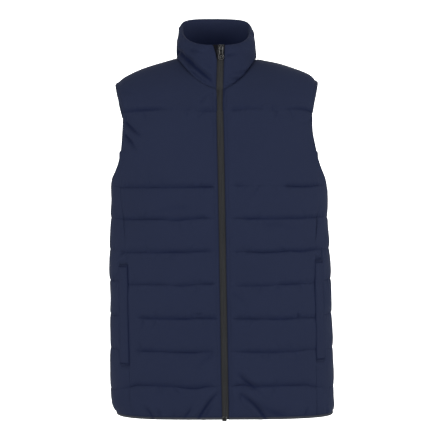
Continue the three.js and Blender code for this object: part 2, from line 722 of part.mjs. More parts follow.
// A side panel: under the arm it ends on the armhole's scoop
function sideEntry(side, welt, row, across) {
  const start = row.at ?? SEAM_TOP.height;
  const frontTurn = (height) => turnMoved(height, seamTurn(height, false), SEAM_GAP / 2);
  const backTurn = (height) => turnMoved(height, seamTurn(height, true), -SEAM_GAP / 2);
  let height = start;
  let turn = mix(frontTurn(start), backTurn(start), across);
  if (row.rise !== undefined) {
    const angle = mix(JUNCTION_ANGLE, Math.PI - JUNCTION_ANGLE, across);
    const depth = angle < RIGHT_ANGLE ? ARMHOLE.frontDepth : ARMHOLE.backDepth;
    const powers = Math.abs(Math.cos(angle)) ** ARMHOLE.scoopSquare + Math.sin(angle) ** ARMHOLE.scoopSquare;
    const scoopReach = powers ** (-1 / ARMHOLE.scoopSquare);
    const scoop = mix(ARMHOLE.scoopTop, ARMHOLE.scoopBottom, scoopReach * Math.sin(angle));
    height = mix(start, scoop, row.rise);
    let topTurn = turnAtDepth(sectionAt(scoop), depth * scoopReach * Math.cos(angle));
    if (across === 0) topTurn = frontTurn(scoop);
    if (across === 1) topTurn = backTurn(scoop);
    turn = mix(turn, topTurn, row.rise);
    if (across === 0) turn = frontTurn(height);
    if (across === 1) turn = backTurn(height);
  }
  const base = bodyPoint(height, turn);
  const frontSeam = bodyPoint(height, frontTurn(height));
  const backSeam = bodyPoint(height, backTurn(height));
  const nearSeam = Math.min(base.distanceTo(frontSeam), base.distanceTo(backSeam));
  const seamFade = mix(SEAM_PUFF, 1, risen(nearSeam, SEAM_PUFF_REACH));
  const topFade = row.rise === undefined ? 1 : risen((1 - row.rise) * EDGE_PUFF_REACH, EDGE_PUFF_REACH);
  const hemFade = risen(height - QUILT_LINES[0].height, PUFF_REACH);
  const fromLine = row.rise === undefined ? lineDistance(height, true) : height - start;
  const quilted = risen(fromLine, PUFF_REACH);
  const puff = PUFF * quilted * seamFade * topFade * hemFade;
  const flat = weltFlatness(welt, height, base, frontSeam);
  return mirrored({ base, normal: bodyNormal(height, turn), puff: mix(puff, WELT.flatPuff, flat) }, side);
}

function sideGeometry(side, welt) {
  const sheet = new Sheet();
  const entryAt = (row, column) => sideEntry(side, welt, row, column.at);
  sheet.addGrid(sideRows(welt), asColumns(SIDE_COLUMNS), entryAt, side < 0);
  return wallGeometry(sheet);
}

// A welt lies on its side panel, on the panel's own outer points moved out
function weltGeometry(welt) {
  const rows = sideRows(welt).filter((row) => row.at >= welt.bottom && row.at <= welt.top);
  const columns = SIDE_COLUMNS.slice(0, WELT_COLUMNS + 1).map((at) => ({ at, inner: true }));
  const sheet = new Sheet();
  const entryAt = (row, column) => {
    const entry = sideEntry(welt.side, welt, row, column.at);
    const isEdge = [welt.top, welt.bottom].includes(row.at) || column.at !== SIDE_COLUMNS[1];
    const under = entry.puff + SEAM_GAP;
    return { ...entry, puff: under + (isEdge ? WELT.edgeThickness : WELT.thickness), thickness: -under };
  };
  sheet.addGrid(rows.map((row) => ({ ...row, inner: true })), columns, entryAt, welt.side < 0);
  return wallGeometry(sheet);
}

// The collar, a padded band with a rounded rim that runs from one side of the zip to the other
function collarGeometry() {
  const turnsBetween = (from, to, count) => Array.from({ length: count }, (_, at) => mix(from, to, at / count));
  const turnsFor = (side) => {
    const front = turnsBetween(neckStartTurn(side), RIGHT_ANGLE, YOKE_FRONT_ROWS.neck);
    const back = turnsBetween(RIGHT_ANGLE, Math.PI, YOKE_BACK_ROWS.neck);
    return [...front, ...back].map((turn) => ({ side, turn }));
  };
  const right = turnsFor(-1);
  const stations = [...right, { side: -1, turn: Math.PI }, ...turnsFor(1).reverse()];
  const profile = [
    ...COLLAR_OUTSIDE.map((row) => ({ ...row, isOutside: true })),
    ...COLLAR_INSIDE.map((row) => ({ ...row, isOutside: false })),
  ];
  const sections = stations.map(({ side, turn }) => profile.map((row) => collarVertex(side, turn, row)));
  return loftGeometry(sections, profile.map((row) => [row.out, row.up * COLLAR_HEIGHT]));
}

function collarVertex(side, turn, row) {
  const surface = (u, v) => collarPoint(side, u, v);
  const up = Math.min(row.up, 1);
  const point = surface(turn, up);
  const isSeam = row.up === 0;
  const normal = isSeam ? neckMitre(turn) : normalOf(surface, turn, up, 0, 1);
  const zipDistance = point.distanceTo(surface(neckStartTurn(side), up));
  const edgeShare = mix(COLLAR_EDGE_SHARE, 1, risen(zipDistance, COLLAR_ZIP_FADE));
  const out = row.isOutside ? row.out * edgeShare : -PLY + (row.out + PLY) * edgeShare;
  const fold = row.isOutside && side < 0 ? foldDepth(turn, row.up) : 0;
  const vertex = sum(point, normal, out - fold);
  vertex.z += COLLAR_SEAM_LIFT;
  return vertex.multiply(new THREE.Vector3(side, 1, 1));
}

function foldDepth(turn, up) {
  const along = clamp01((turn / RIGHT_ANGLE - COLLAR_FOLD.from) / (COLLAR_FOLD.to - COLLAR_FOLD.from));
  const across = Math.exp(-(((up - COLLAR_FOLD.up) / COLLAR_FOLD.spread) ** 2));
  return up === 0 ? 0 : COLLAR_FOLD.depth * Math.sin(Math.PI * along) ** COLLAR_FOLD.taper * across;
}

// Half the zip: a tape with the coil turned inwards, so its edge shows as a low ridge at the middle
function tapeGeometry(side) {
  const plainTop = RIM.low - TOP_OPENING.height;
  const shares = Array.from({ length: TAPE_ROWS + 1 }, (_, row) => row / TAPE_ROWS);
  const plainRows = shares.map((share) => mix(ZIP.bottom, plainTop, share));
  const outlineAt = (height) => {
    const isApart = height >= SLIDER.low;
    const inner = isApart ? SLIDER.tapeGap : ZIP.tapeGap;
    const outer = zipEdge(side, height) - SEAM_GAP - side * zipCentre(height);
    const front = ZIP.recess;
    const ridge = front - COIL.height;
    const back = front + ZIP.ply;
    return [
      [inner, ridge],
      [inner + COIL.width, ridge],
      [inner + COIL.width + COIL.slope, front],
      [outer, front],
      [outer, back],
      [inner, back],
    ];
  };
  const sections = [...plainRows, ...TAPE_TOP_ROWS].map((height) =>
    outlineAt(height).map(([across, depth]) => {
      const x = side * (across + side * zipCentre(height));
      return new THREE.Vector3(x, depth - zipDepth(height), height);
    }),
  );
  return loftGeometry(sections, outlineAt(ZIP.bottom));
}

// A closed mesh with its shared vertices merged, as a solid that can be joined or cut
function toSolid(geometry) {
  const plain = geometry.clone();
  plain.deleteAttribute("normal");
  plain.deleteAttribute("uv");
  const merged = mergeVertices(plain);
  const vertProperties = new Float32Array(merged.attributes.position.array);
  const triVerts = new Uint32Array(merged.index.array);
  return new wasm.Manifold(new wasm.Mesh({ numProp: 3, vertProperties, triVerts }));
}

function fromSolid(solid) {
  const { vertProperties, triVerts } = solid.getMesh();
  const geometry = new THREE.BufferGeometry();
  geometry.setAttribute("position", new THREE.BufferAttribute(vertProperties, 3));
  geometry.setIndex(new THREE.BufferAttribute(triVerts, 1));
  const flat = geometry.toNonIndexed();
  flat.computeVertexNormals();
  return flat;
}

// A plate drawn as seen from the front and thickened towards the front
function plateGeometry(shape, thickness, front) {
  const settings = { depth: thickness, bevelEnabled: false, curveSegments: ARC_STEPS };
  const geometry = new THREE.ExtrudeGeometry(shape, settings);
  geometry.rotateX(RIGHT_ANGLE);
  geometry.translate(0, front + thickness, 0);
  return geometry;
}

function wedgeShape(topWidth, bottomWidth, low, high, round) {
  const shape = new THREE.Shape();
  shape.moveTo(-topWidth / 2, high - round);
  shape.quadraticCurveTo(-topWidth / 2, high, -topWidth / 2 + round, high);
  shape.lineTo(topWidth / 2 - round, high);
  shape.quadraticCurveTo(topWidth / 2, high, topWidth / 2, high - round);
  shape.lineTo(bottomWidth / 2, low + round);
  shape.quadraticCurveTo(bottomWidth / 2, low, bottomWidth / 2 - round, low);
  shape.lineTo(-bottomWidth / 2 + round, low);
  shape.quadraticCurveTo(-bottomWidth / 2, low, -bottomWidth / 2, low + round);
  shape.closePath();
  return shape;
}

const SLIDER_MIDDLE = (SLIDER.low + SLIDER.high) / 2;
const SLIDER_CENTRE = zipCentre(SLIDER_MIDDLE);
const TAPE_FRONT = -zipDepth(SLIDER.low) + ZIP.recess - COIL.height;
const TAPE_BACK = -zipDepth(SLIDER.high) + ZIP.recess + ZIP.ply;
const PLATE_BACK = TAPE_FRONT - SLIDER.clear;
const PLATE_FRONT = PLATE_BACK - SLIDER.plate;
const PIVOT = new THREE.Vector3(SLIDER_CENTRE, PLATE_FRONT - BRIDGE.cavity / 2, SLIDER_MIDDLE);

// The slider: a plate in front of the tapes and one behind, a post between them, and the pull's bridge
function sliderGeometry() {
  const outline = wedgeShape(SLIDER.width, SLIDER.lowWidth, SLIDER.low, SLIDER.high, SLIDER.round);
  const frontPlate = plateGeometry(outline, SLIDER.plate, PLATE_FRONT);
  const backPlate = plateGeometry(outline, SLIDER.plate, TAPE_BACK + SLIDER.clear);
  const postDepth = TAPE_BACK + SLIDER.clear - PLATE_BACK + SLIDER.plate;
  const post = new THREE.BoxGeometry(POST.width, postDepth, POST.height);
  post.translate(0, PLATE_FRONT + (SLIDER.plate + postDepth) / 2, POST.top - POST.height / 2);
  const bridgeDepth = BRIDGE.cavity + BRIDGE.wall;
  const bridge = new THREE.BoxGeometry(BRIDGE.width, bridgeDepth + BRIDGE.root, BRIDGE.reach + 2 * BRIDGE.wall);
  bridge.translate(0, PLATE_FRONT - (bridgeDepth - BRIDGE.root) / 2, SLIDER_MIDDLE);
  const cavity = new THREE.BoxGeometry(BRIDGE.width * 2, BRIDGE.cavity, BRIDGE.reach);
  cavity.translate(0, PLATE_FRONT - BRIDGE.cavity / 2, SLIDER_MIDDLE);
  const arch = toSolid(bridge).subtract(toSolid(cavity));
  const body = toSolid(frontPlate).add(toSolid(backPlate)).add(toSolid(post)).add(arch);
  const geometry = fromSolid(body);
  geometry.translate(SLIDER_CENTRE, 0, 0);
  return geometry;
}

// The pull tab: a plate that widens downwards, with an eye round the bridge and a round hole at its end
function pullGeometry() {
  const top = PULL.bar / 2;
  const bottom = top - PULL.length;
  const shape = new THREE.Shape();
  const round = PULL.endWidth / 2;
  shape.moveTo(-PULL.topWidth / 2, top);
  shape.lineTo(-PULL.topWidth / 2, top - PULL.shoulder);
  shape.lineTo(-PULL.waistWidth / 2, top - PULL.waist);
  shape.lineTo(-round, bottom + round);
  shape.absarc(0, bottom + round, round, Math.PI, Math.PI * 2, false);
  shape.lineTo(PULL.waistWidth / 2, top - PULL.waist);
  shape.lineTo(PULL.topWidth / 2, top - PULL.shoulder);
  shape.lineTo(PULL.topWidth / 2, top);
  shape.closePath();
  const eye = new THREE.Path();
  eye.moveTo(-PULL.eyeWidth / 2, top - PULL.bar);
  eye.lineTo(PULL.eyeWidth / 2, top - PULL.bar);
  eye.lineTo(PULL.eyeWidth / 2, top - PULL.bar - PULL.eyeHeight);
  eye.lineTo(-PULL.eyeWidth / 2, top - PULL.bar - PULL.eyeHeight);
  eye.closePath();
  const hole = new THREE.Path();
  hole.absarc(0, bottom + round, PULL.hole, 0, Math.PI * 2, true);
  shape.holes.push(eye, hole);
  return plateGeometry(shape, PULL.plate, -PULL.plate / 2);
}

// The block that holds the two tapes together at the bottom of the zip
function footGeometry() {
  const high = ZIP.bottom - SEAM_GAP;
  const outline = wedgeShape(ZIP_FOOT.width, ZIP_FOOT.width, high - ZIP_FOOT.height, high, ZIP_FOOT.round);
  return plateGeometry(outline, ZIP_FOOT.depth, -zipDepth(ZIP.bottom) + ZIP.recess - COIL.height);
}

// A point in its place on the vest as it hangs, a little askew
function hung(point) {
  const share = smooth((Math.abs(point.x) - SHIFT_FADE.from) / (SHIFT_FADE.to - SHIFT_FADE.from));
  let x = point.x - LEAN * point.z;
  for (const { side, height, spread, out } of OUTLINE_SHIFTS) {
    if (Math.sign(point.x) === side) x += side * out * share * Math.exp(-(((point.z - height) / spread) ** 2));
  }
  return new THREE.Vector3(x, point.y, point.z);
}

function namedMesh(name, geometry, finish) {
  const position = geometry.attributes.position;
  const point = new THREE.Vector3();
  for (let index = 0; index < position.count; index += 1) {
    const { x, y, z } = hung(point.fromBufferAttribute(position, index));
    position.setXYZ(index, x, y, z);
  }
  geometry.computeVertexNormals();
  const mesh = new THREE.Mesh(geometry, new THREE.MeshStandardMaterial(finish));
  mesh.name = name;
  return mesh;
}

const vest = new THREE.Group();
vest.add(namedMesh("front_left", frontGeometry(1), CLOTH));
vest.add(namedMesh("front_right", frontGeometry(-1), CLOTH));
vest.add(namedMesh("back", backGeometry(), CLOTH));
vest.add(namedMesh("collar", collarGeometry(), CLOTH));
for (const welt of WELTS) {
  const name = welt.side > 0 ? "side_left" : "side_right";
  vest.add(namedMesh(name, sideGeometry(welt.side, welt), CLOTH));
  vest.add(namedMesh(welt.name, weltGeometry(welt), CLOTH));
}
vest.add(namedMesh("zip_tape_left", tapeGeometry(1), TAPE));
vest.add(namedMesh("zip_tape_right", tapeGeometry(-1), TAPE));
vest.add(namedMesh("zip_foot", footGeometry(), METAL));
vest.add(namedMesh("zip_slider", sliderGeometry(), METAL));
const pull = namedMesh("zip_pull", pullGeometry(), METAL);
pull.position.copy(hung(PIVOT));
vest.add(pull);

export default vest;
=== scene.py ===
# Quilted vest: the cloth, zip, sewing and metal that show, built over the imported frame.
# Shapes are worked out in millimetres, then hung a little askew and turned into metres.
import math

import bmesh
import bpy
import numpy as np
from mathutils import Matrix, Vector


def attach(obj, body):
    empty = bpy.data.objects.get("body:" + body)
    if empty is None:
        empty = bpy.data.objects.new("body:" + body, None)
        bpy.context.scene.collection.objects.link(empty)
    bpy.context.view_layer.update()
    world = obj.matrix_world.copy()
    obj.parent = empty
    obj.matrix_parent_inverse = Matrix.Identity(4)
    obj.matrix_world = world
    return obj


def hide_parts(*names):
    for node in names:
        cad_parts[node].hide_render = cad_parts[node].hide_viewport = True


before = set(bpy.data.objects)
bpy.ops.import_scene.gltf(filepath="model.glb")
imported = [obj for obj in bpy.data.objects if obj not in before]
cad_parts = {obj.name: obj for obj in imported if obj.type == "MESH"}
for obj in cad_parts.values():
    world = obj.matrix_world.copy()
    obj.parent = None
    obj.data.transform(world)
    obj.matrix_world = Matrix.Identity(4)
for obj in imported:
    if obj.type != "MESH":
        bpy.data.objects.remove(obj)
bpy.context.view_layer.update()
print("frame loaded:", ", ".join(sorted(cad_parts)))


# Small helpers for whole arrays

def mix(low, high, share):
    return low + (high - low) * share


def clamp01(value):
    return np.clip(value, 0.0, 1.0)


def smooth(value):
    return clamp01(value) ** 2 * (3 - 2 * clamp01(value))


def risen(distance, reach, power=0.6):  # how far the wadding has risen beside a line of stitches
    return (1 - (1 - clamp01(distance / reach)) ** 2) ** power


def bell(distance, width):
    return np.exp(-((distance / width) ** 2))


def unit(vectors):
    return vectors / np.maximum(np.linalg.norm(vectors, axis=-1, keepdims=True), 1e-9)


def curveThrough(table, column, height):
    # A cubic through the table's rows, with each slope taken from the rows on both sides of it
    xs = np.array(table["height"], float)
    ys = np.array(table[column], float)
    place = np.arange(len(xs))
    before, after = np.maximum(place - 1, 0), np.minimum(place + 1, len(xs) - 1)
    slopes = (ys[after] - ys[before]) / (xs[after] - xs[before])
    row = np.clip(np.searchsorted(xs, height) - 1, 0, len(xs) - 2)
    span = xs[row + 1] - xs[row]
    share = clamp01((height - xs[row]) / span)
    rest = 1 - share
    ends = ys[row] * (1 + 2 * share) * rest ** 2 + ys[row + 1] * (3 - 2 * share) * share ** 2
    return ends + span * (slopes[row] * share * rest ** 2 - slopes[row + 1] * rest * share ** 2)


def ripple(along, seed, lengths):
    # A sum of sines of about these wavelengths, each with its own phase and strength, from -1 to 1
    rng = np.random.default_rng(seed)
    total = np.zeros(np.shape(along))
    for length in lengths:
        wave = 2 * math.pi * along / (length * rng.uniform(0.8, 1.25)) + rng.uniform(0, 2 * math.pi)
        total = total + rng.uniform(0.6, 1.0) * np.sin(wave)
    return total / len(lengths) ** 0.5


def billow(across, up, seed, shortest, longest, waves=9):
    # Soft hollows and swells: a sum of plane waves in seeded directions
    rng = np.random.default_rng(seed)
    total = np.zeros(np.shape(across))
    for _ in range(waves):
        turn, length = rng.uniform(0, math.pi), rng.uniform(shortest, longest)
        run = across * math.cos(turn) + up * math.sin(turn)
        total = total + np.sin(2 * math.pi * run / length + rng.uniform(0, 2 * math.pi))
    return total / waves ** 0.5


# The vest's own shape, the same as its solids

body = {
    "height": [-705, -640, -564, -484, -408, -354, -294, -244, -190, -116],
    "halfWidth": [217.0, 217.6, 216.8, 216.4, 215.6, 213.4, 211.4, 211.4, 210.0, 207.5],
    "front": [116, 117, 118, 119, 120, 122, 124, 124, 119, 108],
    "back": [110, 108, 106, 104, 105, 108, 112, 116, 117, 112],
    "frontSquare": [3.4, 2.9, 2.8, 2.7, 2.6, 2.6, 2.6, 2.6, 2.6, 2.6],
    "backSquare": [3.2, 2.9, 2.8, 2.8, 2.8, 2.8, 2.9, 3.0, 3.0, 3.0],
}
quiltLines = [-705, -640, -577, -514, -451, -388, -325, -262, -116]
sideLines = [-705, -652, -579.5, -514, -445, -385, -321.5, -258]
seams = {
    "height": [-705, -600, -400, -324, -258],
    "front": [177, 178, 179, 185, 190],
    "back": [176, 177, 177, 181, 186],
}
armhole = {
    "frontDepth": 68, "backDepth": 70, "yokeFrontDepth": 66, "yokeBackDepth": 69,
    "scoopTop": -178, "scoopBottom": -244, "scoopSquare": 2.6, "topSpread": 1.3, "seamMeets": -190,
}
shoulder = {"x": 199.8, "y": 5, "z": -49.5, "tilt": 3, "round": 6, "roundLean": 1.6}
neck = {
    "halfWidth": 77, "front": 93, "back": 63, "centre": 5, "frontSquare": 2.2, "backSquare": 2.2,
    "shoulder": -4, "frontDrop": 72, "dropPower": 2.5, "backRise": 10,
}
rim = {
    "halfWidth": 71, "front": 98, "back": 40, "centre": 15, "frontSquare": 2.4, "backSquare": 3.2,
    "low": 14.5, "rise": 72.5, "risePower": 1.1,
}
zipLine = {
    "band": 13, "offset": 2, "lean": 5, "leanPower": 1.6, "bottom": -699, "top": 15,
    "openHeight": 33, "openWidth": 9, "openPower": 1.5,
}
cloth = {
    "gap": 0.3, "sewnGap": 0.08, "ply": 2.2, "puff": 4.6, "puffReach": 24, "lean": 0.0175,
    "yokeLean": {"front": 0.9, "back": 1.5}, "riserShare": {"front": 0.2, "back": 5 / 12},
}
yokeLine = quiltLines[-1]
rightAngle = math.pi / 2


def section(height):
    ring = {column: curveThrough(body, column, height) for column in body if column != "height"}
    ring["centre"] = 0
    return ring


def ringXY(ring, turn):
    # An egg-shaped ring: a superellipse with its own depth and squareness in front and behind
    sine, cosine = np.sin(turn), np.cos(turn)
    isFront = cosine > 0
    square = np.where(isFront, ring["frontSquare"], ring["backSquare"])
    reach = (np.abs(sine) ** square + np.abs(cosine) ** square) ** (-1 / square)
    depth = np.where(isFront, ring["front"], ring["back"])
    return ring["halfWidth"] * reach * sine, ring["centre"] - depth * reach * cosine


def bodyPoint(height, turn):
    x, y = ringXY(section(height), turn)
    return np.stack(np.broadcast_arrays(x, y, height), -1).astype(float)


def turnAtWidth(ring, x, isBack=False):
    square = ring["backSquare" if isBack else "frontSquare"]
    across = x / ring["halfWidth"]
    turn = np.arctan2(across, (1 - across ** square) ** (1 / square))
    return math.pi - turn if isBack else turn


def turnAtDepth(ring, depth, isBack):
    square = ring["backSquare" if isBack else "frontSquare"]
    share = np.abs(depth) / ring["back" if isBack else "front"]
    turn = np.arctan2((1 - share ** square) ** (1 / square), share)
    return math.pi - turn if isBack else turn


def turnMoved(height, turn, distance):
    step = 0.01
    radius = np.linalg.norm(bodyPoint(height, turn + step) - bodyPoint(height, turn), axis=-1) / step
    return turn + distance / radius


def zipCentre(height):
    share = clamp01((height - yokeLine) / (rim["low"] - yokeLine))
    return zipLine["offset"] + zipLine["lean"] * share ** zipLine["leanPower"]


def zipEdge(side, height):
    opening = 0
    if side < 0:
        opening = clamp01((height - rim["low"] + zipLine["openHeight"]) / zipLine["openHeight"])
    spread = zipLine["openWidth"] * opening ** zipLine["openPower"]
    return zipLine["band"] / 2 + cloth["gap"] + side * zipCentre(height) + spread


def zipDepth(height):
    neckDepth, rimDepth = neck["front"] - neck["centre"], rim["front"] - rim["centre"]
    chest = section(np.minimum(height, yokeLine))["front"]
    overYoke = clamp01((height - yokeLine) / (-neck["frontDrop"] - yokeLine)) ** cloth["yokeLean"]["front"]
    upCollar = clamp01((height + neck["frontDrop"]) / (rim["low"] + neck["frontDrop"]))
    return mix(mix(chest, neckDepth, overYoke), rimDepth, upCollar)


def armholeTurn(height, isBack):
    depth = armhole["backDepth" if isBack else "frontDepth"]
    yokeDepth = armhole["yokeBackDepth" if isBack else "yokeFrontDepth"]
    drop = clamp01((armhole["scoopTop"] - height) / (armhole["scoopTop"] - armhole["scoopBottom"]))
    forward = (1 - drop ** armhole["scoopSquare"]) ** (1 / armhole["scoopSquare"])
    rise = (height - armhole["scoopTop"]) / (yokeLine - armhole["scoopTop"])
    return turnAtDepth(section(height), mix(depth * forward, yokeDepth, smooth(rise)), isBack)


def seamTurn(height, isBack):
    top = seams["height"][-1]
    column = "back" if isBack else "front"
    low = turnAtWidth(section(np.minimum(height, top)), curveThrough(seams, column, height), isBack)
    end = armholeTurn(np.float64(armhole["seamMeets"]), isBack)
    return mix(low, end, clamp01((height - top) / (armhole["seamMeets"] - top)))


def panelEdgeTurn(height, isBack):
    gap = cloth["sewnGap"] / 2 * (1 if isBack else -1)
    onSeam = turnMoved(height, seamTurn(height, isBack), gap)
    return np.where(height > armhole["seamMeets"], armholeTurn(height, isBack), onSeam)


def neckPoint(turn):
    x, y = ringXY(neck, turn)
    forward = np.maximum(0, (neck["centre"] - y) / neck["front"])
    backward = np.maximum(0, (y - neck["centre"]) / neck["back"])
    drop = (neck["frontDrop"] + neck["shoulder"]) * forward ** neck["dropPower"]
    return np.stack([x, y, neck["shoulder"] + neck["backRise"] * backward ** 2 - drop], -1)


def rimPoint(turn):
    x, y = ringXY(rim, turn)
    share = clamp01((y - rim["centre"] + rim["front"]) / (rim["front"] + rim["back"]))
    return np.stack([x, y, rim["low"] + rim["rise"] * share ** rim["risePower"]], -1)


def neckStart(side):
    return turnAtWidth(neck, zipEdge(side, -neck["frontDrop"]))


def yokeInner(side, isBack, up):
    # Up the zip or centre back by its riser's share, then round the neck seam to the shoulder
    name = "back" if isBack else "front"
    corner = cloth["riserShare"][name]
    start = math.pi if isBack else neckStart(side)
    round_ = neckPoint(mix(start, rightAngle, clamp01((up - corner) / (1 - corner))))
    rise = clamp01(up / corner)
    top = neckPoint(np.float64(start))
    height = mix(yokeLine, top[2], rise)
    if isBack:
        bottom = section(np.float64(yokeLine))["back"]
        x, y = np.zeros_like(up), mix(bottom, top[1], rise ** cloth["yokeLean"]["back"])
    else:
        x, y = zipEdge(side, height), -zipDepth(height)
    return np.where((up > corner)[..., None], round_, np.stack([x, y, height], -1))


def yokePoint(side, isBack, across, up):
    # A blend from the inner edge to the armhole's edge, keeping the curve of the yoke line below it
    line = section(np.float64(yokeLine))
    start = math.pi if isBack else turnAtWidth(line, zipEdge(side, yokeLine))
    end = armholeTurn(np.float64(yokeLine), isBack)
    below = bodyPoint(np.full(across.shape, float(yokeLine)), mix(start, end, across))
    ends = bodyPoint(np.array([yokeLine, yokeLine], float), np.array([start, end]))
    seamY = shoulder["y"] + (1 if isBack else -1) * cloth["sewnGap"] / 2
    angle = up * rightAngle
    tipZ = shoulder["z"] + side * shoulder["tilt"]
    outer = np.stack([
        mix(ends[1, 0], shoulder["x"], np.sin(angle) ** armhole["topSpread"]),
        mix(seamY, ends[1, 1], np.cos(angle)),
        mix(ends[1, 2], tipZ, np.sin(angle)),
    ], -1)
    share = across[..., None]
    point = mix(yokeInner(side, isBack, up), outer, share)
    point += (below - mix(ends[0], ends[1], share)) * (1 - smooth(up))[..., None]
    lean = shoulder["roundLean"]
    point[..., 2] += shoulder["round"] * np.sin(math.pi * clamp01(across) ** lean) * smooth(up)
    point[..., 1] = np.where(up >= 1, seamY, point[..., 1])
    return point


def collarPoint(side, turn, up):
    # Straight lines from the neck seam up to the rim, with a slight belly outwards
    height = rim["low"] + neck["frontDrop"]
    ring = {"halfWidth": mix(neck["halfWidth"], rim["halfWidth"], up)}
    ring["frontSquare"] = mix(neck["frontSquare"], rim["frontSquare"], up)
    start = turnAtWidth(ring, zipEdge(side, height * up - neck["frontDrop"]))
    place = math.pi - (math.pi - turn) * (math.pi - start) / (math.pi - neckStart(side))
    point = mix(neckPoint(place), rimPoint(place), up[..., None])
    outward = point * [1, 1, 0] - [0, neck["centre"], 0]
    return point + unit(outward) * np.sin(math.pi * up)[..., None]


def gridNormals(points):
    across = np.gradient(points, axis=1)
    up = np.gradient(points, axis=0)
    return unit(np.cross(across, up))


def distanceTo(points, edge):
    return np.linalg.norm(points - edge, axis=-1)


# Meshes from arrays

outlineShifts = (  # where the outline bulges or draws in on one side: side, height, reach, how far out
    (-1, -88, 30, 4.5), (1, -150, 28, -4), (-1, -712, 22, -9),
)


def hang(points):
    # Leans the vest as it hangs, bulges its outline at the sides, and turns millimetres into metres
    moved = np.array(points, float)
    x, z = moved[..., 0].copy(), moved[..., 2]
    share = smooth((np.abs(x) - 130) / 70)
    moved[..., 0] -= cloth["lean"] * z
    for side, height, spread, out in outlineShifts:
        moved[..., 0] += (np.sign(x) == side) * side * out * share * bell(z - height, spread)
    return moved * 0.001


def makeObject(name, points, quads, triangles=None, uv=None, marks=None, polygon=None):
    # points in millimetres; quads and triangles are index arrays; marks are numbers for each point
    groups = [np.asarray(quads, int).reshape(-1, 4)]
    groups.append(np.asarray(triangles if triangles is not None else [], int).reshape(-1, 3))
    if polygon is not None:
        groups.extend(np.asarray(ring, int).reshape(1, -1) for ring in polygon)
    corners = np.concatenate([group.ravel() for group in groups])
    sizes = np.concatenate([np.full(len(group), group.shape[1]) for group in groups])
    mesh = bpy.data.meshes.new(name)
    mesh.vertices.add(len(points))
    mesh.vertices.foreach_set("co", hang(points).ravel())
    mesh.loops.add(len(corners))
    mesh.loops.foreach_set("vertex_index", corners)
    mesh.polygons.add(len(sizes))
    mesh.polygons.foreach_set("loop_start", np.concatenate([[0], np.cumsum(sizes)[:-1]]))
    mesh.update(calc_edges=True)
    if uv is not None:
        layer = mesh.uv_layers.new(name="clothMap")
        layer.data.foreach_set("uv", np.asarray(uv, float)[corners].ravel())
    for mark, values in (marks or {}).items():
        mesh.attributes.new(mark, "FLOAT", "POINT").data.foreach_set("value", np.asarray(values, float))
    mesh.polygons.foreach_set("use_smooth", np.ones(len(sizes), bool))
    mesh.validate()
    made = bpy.data.objects.new(name, mesh)
    bpy.context.scene.collection.objects.link(made)
    return made


def gridIndex(rows, columns, slit=None):
    # The points' numbers; under a slit's lowest row its two columns are one and share theirs
    index = np.arange(rows * columns).reshape(rows, columns)
    if slit:
        row, column = slit
        index[:row + 1, column] = index[:row + 1, column + 1]
    return index


def gridFaces(index, slit=None):
    quads = np.stack([index[:-1, :-1], index[:-1, 1:], index[1:, 1:], index[1:, :-1]], -1)
    if slit:
        quads = np.delete(quads, slit[1], axis=1)
    return quads.reshape(-1, 4)


def gridQuads(rows, columns):
    return gridFaces(gridIndex(rows, columns))


def gridBorder(index, slit=None):
    # The border of a grid, once round: along the bottom, up the last column, back and down; a slit
    # from the top adds the way down one of its columns and up the other
    if not slit:
        return np.concatenate([index[0, :-1], index[:-1, -1], index[-1, :0:-1], index[:0:-1, 0]])
    row, column = slit
    return np.concatenate([
        index[0, :column], index[0, column + 1:-1], index[:-1, -1], index[-1, :column + 1:-1],
        index[:row:-1, column + 1], index[row:-1, column], index[-1, column:0:-1], index[:0:-1, 0]])


def everyThird(values, slit=None):
    # The same for the columns on each side of a slit
    if not slit:
        return values[::3, ::3]
    return np.concatenate([values[::3, :slit[1] + 1:3], values[::3, slit[1] + 1::3]], axis=1)


def wall(name, base, normals, relief, flip, mirror, thickness=None, marks=None, slit=None):
    # A closed wall: fine outer points moved out by the relief, a plain inner face of every third
    # point moved in by the thickness, and a rim of triangles that joins their borders
    rows, columns = relief.shape
    outer = base + normals * relief[..., None]
    inset = cloth["ply"] if thickness is None else everyThird(thickness, slit)[..., None]
    inner = everyThird(base, slit) - everyThird(normals, slit) * inset
    innerSlit = (slit[0] // 3, slit[1] // 3) if slit else None
    index = gridIndex(rows, columns, slit)
    innerIndex = rows * columns + gridIndex(*inner.shape[:2], innerSlit)
    fine, coarse = gridBorder(index, slit), gridBorder(innerIndex, innerSlit)
    o0, o1, o2 = fine[0::3], fine[1::3], fine[2::3]
    o3, i0, i1 = np.roll(o0, -1), coarse, np.roll(coarse, -1)
    faces = np.concatenate([
        np.stack(face, -1) for face in ((o0, i0, o1), (o1, i0, i1), (o1, i1, o2), (o2, i1, o3))
    ])
    quads = np.concatenate([gridFaces(index, slit), gridFaces(innerIndex, innerSlit)[:, ::-1]])
    points = np.concatenate([outer.reshape(-1, 3), inner.reshape(-1, 3)])
    if mirror:
        points = points * [-1, 1, 1]
    if flip != mirror:
        quads, faces = quads[:, ::-1], faces[:, ::-1]
    run = np.cumsum(distanceTo(base, np.roll(base, 1, 1)) * (np.arange(columns) > 0), axis=1)
    rise = np.cumsum(distanceTo(base, np.roll(base, 1, 0)) * (np.arange(rows) > 0)[:, None], axis=0)
    uv = np.stack([run, rise], -1) * 0.001
    uv = np.concatenate([uv.reshape(-1, 2), everyThird(uv, slit).reshape(-1, 2)])
    used, numbers = np.unique(np.concatenate([quads.ravel(), faces.ravel()]), return_inverse=True)
    quads, faces = numbers[:quads.size].reshape(-1, 4), numbers[quads.size:].reshape(-1, 3)
    given = {}
    for mark, values in (marks or {}).items():
        given[mark] = np.concatenate([values.ravel(), np.zeros(len(points) - values.size)])[used]
    return makeObject(name, points[used], quads, faces, uv[used], given), outer


# Where the rows and columns of a panel's grid go

